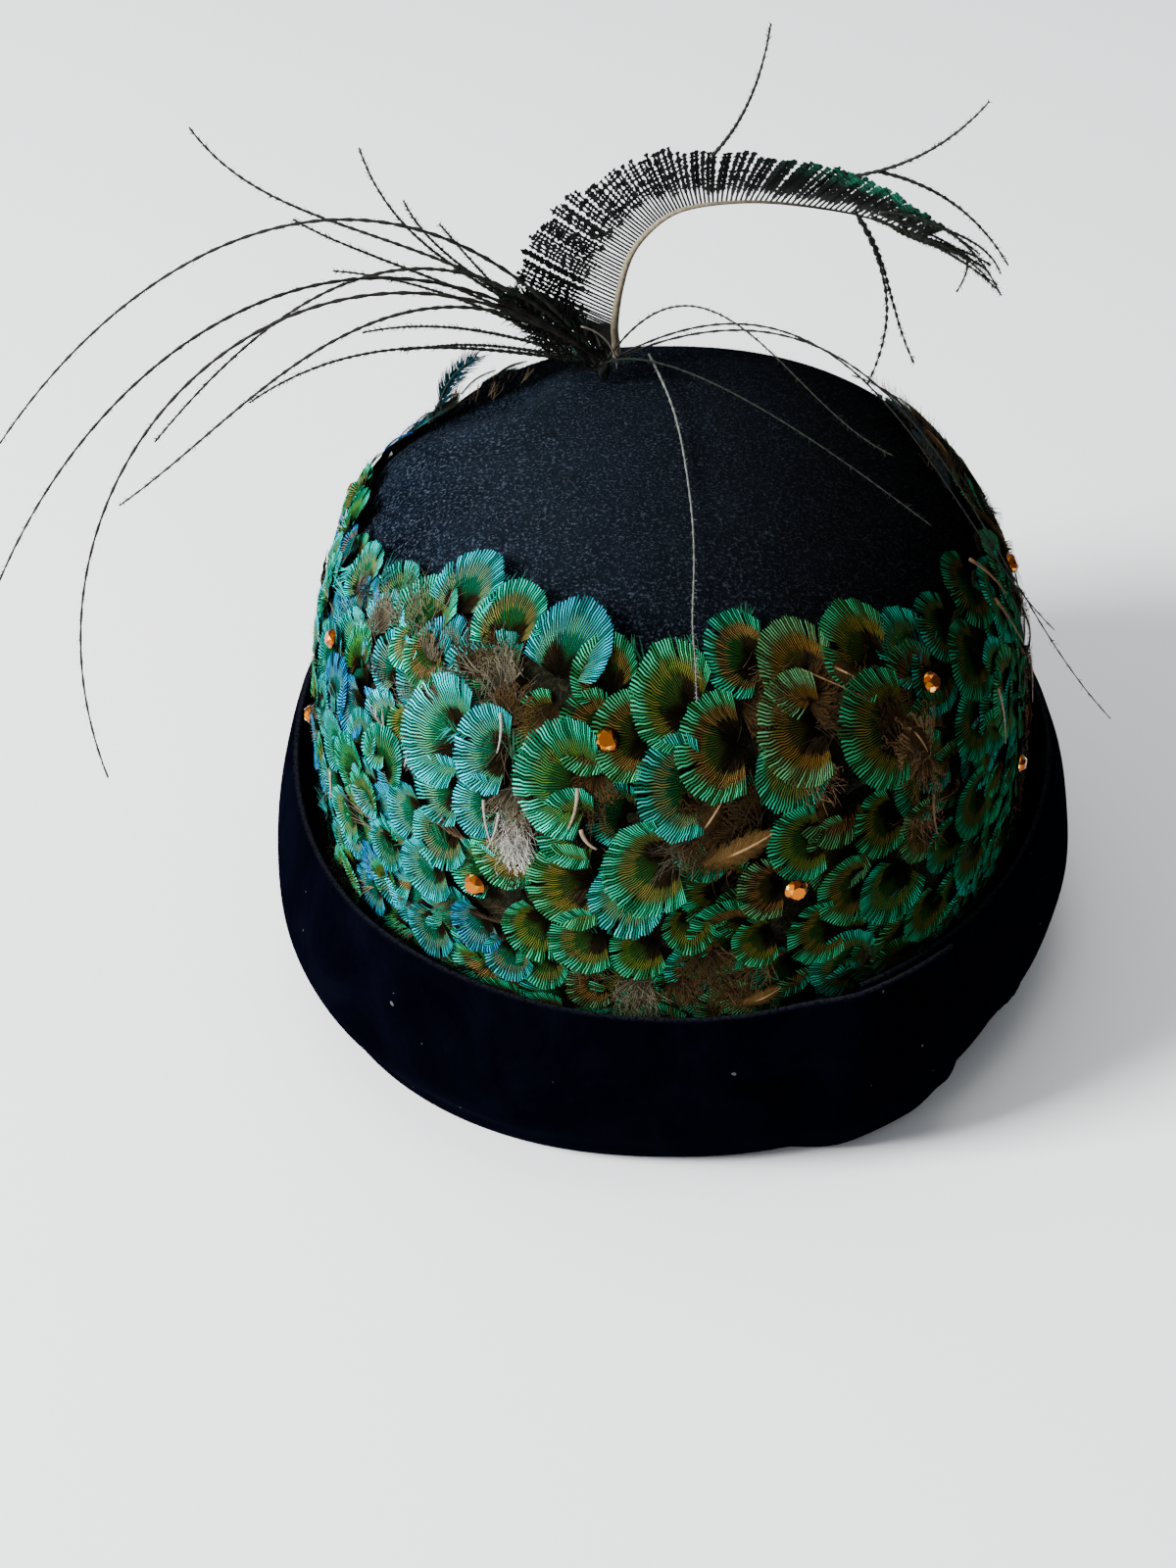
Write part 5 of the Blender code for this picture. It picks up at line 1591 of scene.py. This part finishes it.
def make_back_herl():
    """A pale beaded herl that falls over the back of the crown."""
    degrees = np.array([97.0, 93.0, 60.0, -83.0, -86.0, -88.0, -88.0, -88.0])
    ways = np.array([0.795, 0.900, 0.985, 0.875, 0.780, 0.695, 0.652, 0.613])
    lifts = np.array([3.0, 3.0, 2.0, 2.0, 2.5, 4.0, 5.5, 6.5])
    return read_along(felt(np.radians(degrees), ways, lifts), np.linspace(0, 1, 110))


SHORT_HERLS = (
    # as the rows of SPRAY, for the barbs that only the looks show
    (-0.42, -0.02, 0.25, -0.01, 0.03, -0.02, 0.02),
    (-0.37, 0.00, 0.16, 0.00, 0.03, 0.00, 0.03),
    (-0.26, 0.00, 0.27, -0.01, 0.01, -0.02, 0.00),
    (-0.21, 0.01, 0.23, 0.00, -0.01, 0.00, -0.01),
    (-0.64, -0.12, -0.06, -0.02, 0.20, -0.03, 0.15),
    (-0.33, -0.02, 0.07, 0.00, 0.03, 0.00, 0.03),
)

HERL_STEPS = 130
HERL_ASIDE = (5.5, 0.0, 1.5)  # how far the herls' root stands aside of the solid's
OVER_FELT = slice(8, 12)  # the rows of SPRAY that run out over the felt
BALL = 0.4  # the knot's ball as a share of the solid knot
BALL_DEPTH = 2.6  # how far its lower half is stretched, down to the felt


def make_spray():
    """The long herls and the ball that they leave: a sphere with shallow lumps, stretched below."""
    root = knot_place()
    rows = SPRAY + SHORT_HERLS
    lines = bowed_lines(np.tile(root, (len(rows), 1)), rows, SPRAY_REACH, HERL_STEPS)
    aside = np.array(HERL_ASIDE)
    lines = lines + (1 - np.linspace(0, 1, HERL_STEPS))[None, :, None] ** 4 * aside
    root = root + aside
    parts = herl_parts(np.delete(lines, OVER_FELT, axis=0), 0.42, 330, 41)
    parts += herl_parts(lines[OVER_FELT], 0.24, 160, 71)
    parts += herl_parts(make_back_herl()[None], 0.24, 160, 61, 0.8)
    parts += make_bundle(root)
    down = np.linspace(0, math.pi, 14)[:, None]
    turn = np.linspace(0, 2 * math.pi, 28, endpoint=False)[None]
    lump = KNOT / 2 * (1 + 0.06 * np.sin(7 * down + 3 * turn) + 0.05 * np.sin(5 * turn))
    deep = np.where(down > math.pi / 2, BALL_DEPTH, 1.0)
    shape = (np.sin(down) * np.cos(turn), np.sin(down) * np.sin(turn), np.cos(down) * deep + 0 * turn)
    ball = root + lump[..., None] * np.stack(shape, axis=-1) * BALL
    points, quads, triangles = closed_skin(ball[1:-1], ball[0, 0], ball[-1, 0])
    uv = np.zeros((len(points), 2))
    parts.append((points, [quads, triangles], uv, np.array([0.006, 0.007, 0.005, 1.0])))
    points, faces, uv, tint = join(parts)
    finish = barb_finish("herls")
    put_mesh("herl_strands", points, faces, finish, ["herl_spray"], uv=uv, tint=tint)


def make_tuft():
    """A short teal feather: a bent shaft with fine barbs to both sides."""
    foot = felt(math.radians(TUFT_PLACE[0]), TUFT_PLACE[1], TUFT_STAND)
    share = np.linspace(0, 1, TUFT_STEPS)
    bend = np.radians(10.0 + 48.0 * share)
    flat = np.zeros_like(share)
    step = np.stack([np.sin(bend), flat, np.cos(bend)], axis=-1) * TUFT_LENGTH * 0.9 / (TUFT_STEPS - 1)
    line = foot + np.array([1.5, 0.0, 1.5]) * np.minimum(1.0, share[:, None] * 8) + np.cumsum(step, axis=0)
    side = np.stack([np.cos(bend), flat, -np.sin(bend)], axis=-1)
    line[0] = foot - np.array([0.4, 0.0, 1.2])
    s_points, s_faces, s_uv = tubes(line[None], (0.40 - 0.30 * share)[None], 6)
    s_tint = np.broadcast_to(np.array([0.010, 0.020, 0.018, 1.0]), (len(s_points), 4))
    count = TUFT_BARBS
    at = np.tile(np.linspace(0.06, 0.99, count // 2), 2)
    flip = np.repeat([1.0, -1.0], count // 2)[:, None]
    place = np.clip((at * (TUFT_STEPS - 1)).astype(int), 0, TUFT_STEPS - 2)
    half = TUFT_WIDTH / 2 * (0.15 + 0.85 * np.sin(math.pi * np.minimum(1.0, at * 0.92 + 0.02)) ** 0.7)
    run = unit(np.gradient(line, axis=0))[place]
    t = np.linspace(0, 1, 4)[None, :, None]
    loose = chance(53, (count, 1, 1), 0.6, 1.15)
    out = side[place][:, None] * flip[:, None] * half[:, None, None] * t * loose
    astray = chance(52, (count, 1, 3), -0.5, 0.5) * t
    lines = line[place][:, None] + out + run[:, None] * (3.6 * t**1.4) + astray
    face = flat_side(unit(out[:, -1]))[:, None]
    b_points, b_quads, b_uv = ribbons(lines, 0.50 * (1 - 0.6 * t[..., 0]) + 0 * lines[..., 0], face)
    tone = chance(51, (count, 1))
    glint = np.array([0.0, 0.03, 0.05]) * tone**4
    b_tint = colours(np.array([0.002, 0.030, 0.042]) * (0.2 + tone) + glint, 8)
    points, faces, uv, tint = join([(s_points, s_faces, s_uv, s_tint), (b_points, [b_quads], b_uv, b_tint)])
    finish = barb_finish("tuft_barbs", 0.4)
    put_mesh("tuft_plume", points, faces, finish, ["tuft_feather"], uv=uv, tint=tint)


def make_stones():
    """Each stone keeps its solid's place, girdle and height: a table of eight sides, eight star facets,
    eight kites and sixteen facets on the girdle, over a flat back."""
    finish = stone_finish()
    turn = np.arange(8) * math.pi / 4
    between = turn + math.pi / 8
    fine = np.arange(16) * math.pi / 8
    for number in range(1, 15):
        node = f"rhinestone_{number:02d}"
        corners = np.zeros(len(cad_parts[node].data.vertices) * 3)
        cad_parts[node].data.vertices.foreach_get("co", corners)
        corners = np.unique(np.round(corners.reshape(-1, 3) / MM, 3), axis=0)
        middle = corners.mean(axis=0)
        axes = np.linalg.svd(corners - middle)[2]
        out = axes[2] * np.sign(axes[2] @ (middle * np.array([1.0, 1.0, 0.6])))
        across = unit(np.cross((0.0, 0.0, 1.0), out))
        up = np.cross(out, across)
        levels = (corners - middle) @ out
        low, high = levels.min(), levels.max()
        radius = np.linalg.norm(corners - middle - levels[:, None] * out, axis=1).max()

        def ring(angles, share, depth):
            flat = np.cos(angles)[:, None] * across + np.sin(angles)[:, None] * up
            return middle + out * (low + (high - low) * depth) + radius * share * flat

        points = np.concatenate(
            [
                ring(turn, 0.58, 1.0),
                ring(between, 0.80, 0.72),
                ring(fine, 0.99, 0.42),
                ring(fine, 0.99, 0.30),
                ring(fine, 0.78, 0.0),
            ]
        )
        i = np.arange(8)
        n = (i + 1) % 8
        table = i[None]
        star = np.stack([i, 8 + i, n], axis=-1)
        kite = np.stack([i, 8 + (i - 1) % 8, 16 + 2 * i, 8 + i], axis=-1)
        low_left = np.stack([8 + i, 16 + 2 * i, 16 + 2 * i + 1], axis=-1)
        low_right = np.stack([8 + i, 16 + 2 * i + 1, 16 + (2 * i + 2) % 16], axis=-1)
        j = np.arange(16)
        k = (j + 1) % 16
        girdle = np.stack([16 + j, 32 + j, 32 + k, 16 + k], axis=-1)
        flank = np.stack([32 + j, 48 + j, 48 + k, 32 + k], axis=-1)
        back = (48 + j[::-1])[None]
        kinds = [table, star, kite, low_left, low_right, girdle, flank, back]
        # painted reflections: a brightness for each facet, the table mid-orange
        painted_facet_light = chance(600 + number, sum(len(kind) for kind in kinds)) ** 0.9
        painted_facet_light[0] = 0.70
        split_points, split_faces, split_tint, start, face = [], [], [], 0, 0
        for kind in kinds:
            split_points.append(points[kind].reshape(-1, 3))
            split_faces.append(start + np.arange(kind.size).reshape(kind.shape))
            shade = np.repeat(painted_facet_light[face : face + len(kind)], kind.shape[1])
            split_tint.append(np.stack([shade, shade, shade, np.ones_like(shade)], axis=-1))
            start, face = start + kind.size, face + len(kind)
        put_mesh(
            f"cut_stone_{number:02d}",
            np.concatenate(split_points),
            split_faces,
            finish,
            [node],
            tint=np.concatenate(split_tint),
            smooth=False,
        )


def make_floor():
    """A square of paper, three metres to a side, level with the cuff's lowest fold."""
    side = np.linspace(-1500.0, 1500.0, 3)
    x, y = np.meshgrid(side, side)
    mesh = bpy.data.meshes.new("floor")
    points = np.stack([x, y, 0 * x], axis=-1).reshape(-1, 3) * MM
    mesh.from_pydata(points.tolist(), [], grid_quads(1, 3, 3).tolist())
    mesh.materials.append(floor_finish())
    floor = new_object("floor", mesh)


CAMERA_PLACE = (-0.0212, -0.5162, 0.4233)
CAMERA_LENS = 54.09
CAMERA_DOWN = 36.8


def make_camera():
    """The photograph looks at the back of the hat from above, with no turn to the side."""
    camera = bpy.data.cameras.new("photo_camera")
    camera.sensor_fit = "VERTICAL"
    camera.sensor_height = 36.0
    camera.lens = CAMERA_LENS
    holder = new_object("photo_camera", camera)
    holder.location = CAMERA_PLACE
    holder.rotation_euler = (math.radians(90.0 - CAMERA_DOWN), 0.0, 0.0)
    bpy.context.scene.camera = holder


def make_light(name, place, aim, side, watts, colour):
    """A square light at a place, turned towards its aim."""
    light = bpy.data.lights.new(name, "AREA")
    light.shape = "SQUARE"
    light.size = side
    light.energy = watts
    light.color = colour
    holder = new_object(name, light)
    holder.location = place
    towards = np.array(aim) - np.array(place)
    flat = math.hypot(towards[0], towards[1])
    turn = math.atan2(towards[1], towards[0]) - math.pi / 2
    holder.rotation_euler = (math.atan2(flat, -towards[2]), 0.0, turn)


def make_lights():
    """A broad soft light from the left, a weaker one from above, and a room that is brighter on the left."""
    make_light("left_window", (-2.0, -0.75, 1.25), (0.0, 0.0, 0.08), 0.8, 262.0, (0.95, 0.97, 1.0))
    make_light("overhead", (-0.2, 0.3, 2.2), (0.0, 0.0, 0.05), 1.4, 22.0, (1.0, 0.99, 0.97))
    world = bpy.data.worlds.new("grey_room")
    world.use_nodes = True
    tree = world.node_tree
    sky = tree.nodes["Background"]
    sky.inputs["Color"].default_value = (0.88, 0.93, 1.0, 1.0)
    where = tree.nodes.new("ShaderNodeTexCoord")
    split = tree.nodes.new("ShaderNodeSeparateXYZ")
    side = tree.nodes.new("ShaderNodeMapRange")
    for socket, value in (("From Min", -1.0), ("From Max", 1.0), ("To Min", 1.30), ("To Max", 0.12)):
        side.inputs[socket].default_value = value
    tree.links.new(where.outputs["Generated"], split.inputs["Vector"])
    tree.links.new(split.outputs["X"], side.inputs["Value"])
    tree.links.new(side.outputs["Result"], sky.inputs["Strength"])
    bpy.context.scene.world = world


make_camera()
make_lights()
make_floor()
make_crown()
make_cuff()
make_plumage()
make_down()
make_leaves()
make_fluff()
make_nap()
make_sword()
make_spray()
make_tuft()
make_stones()
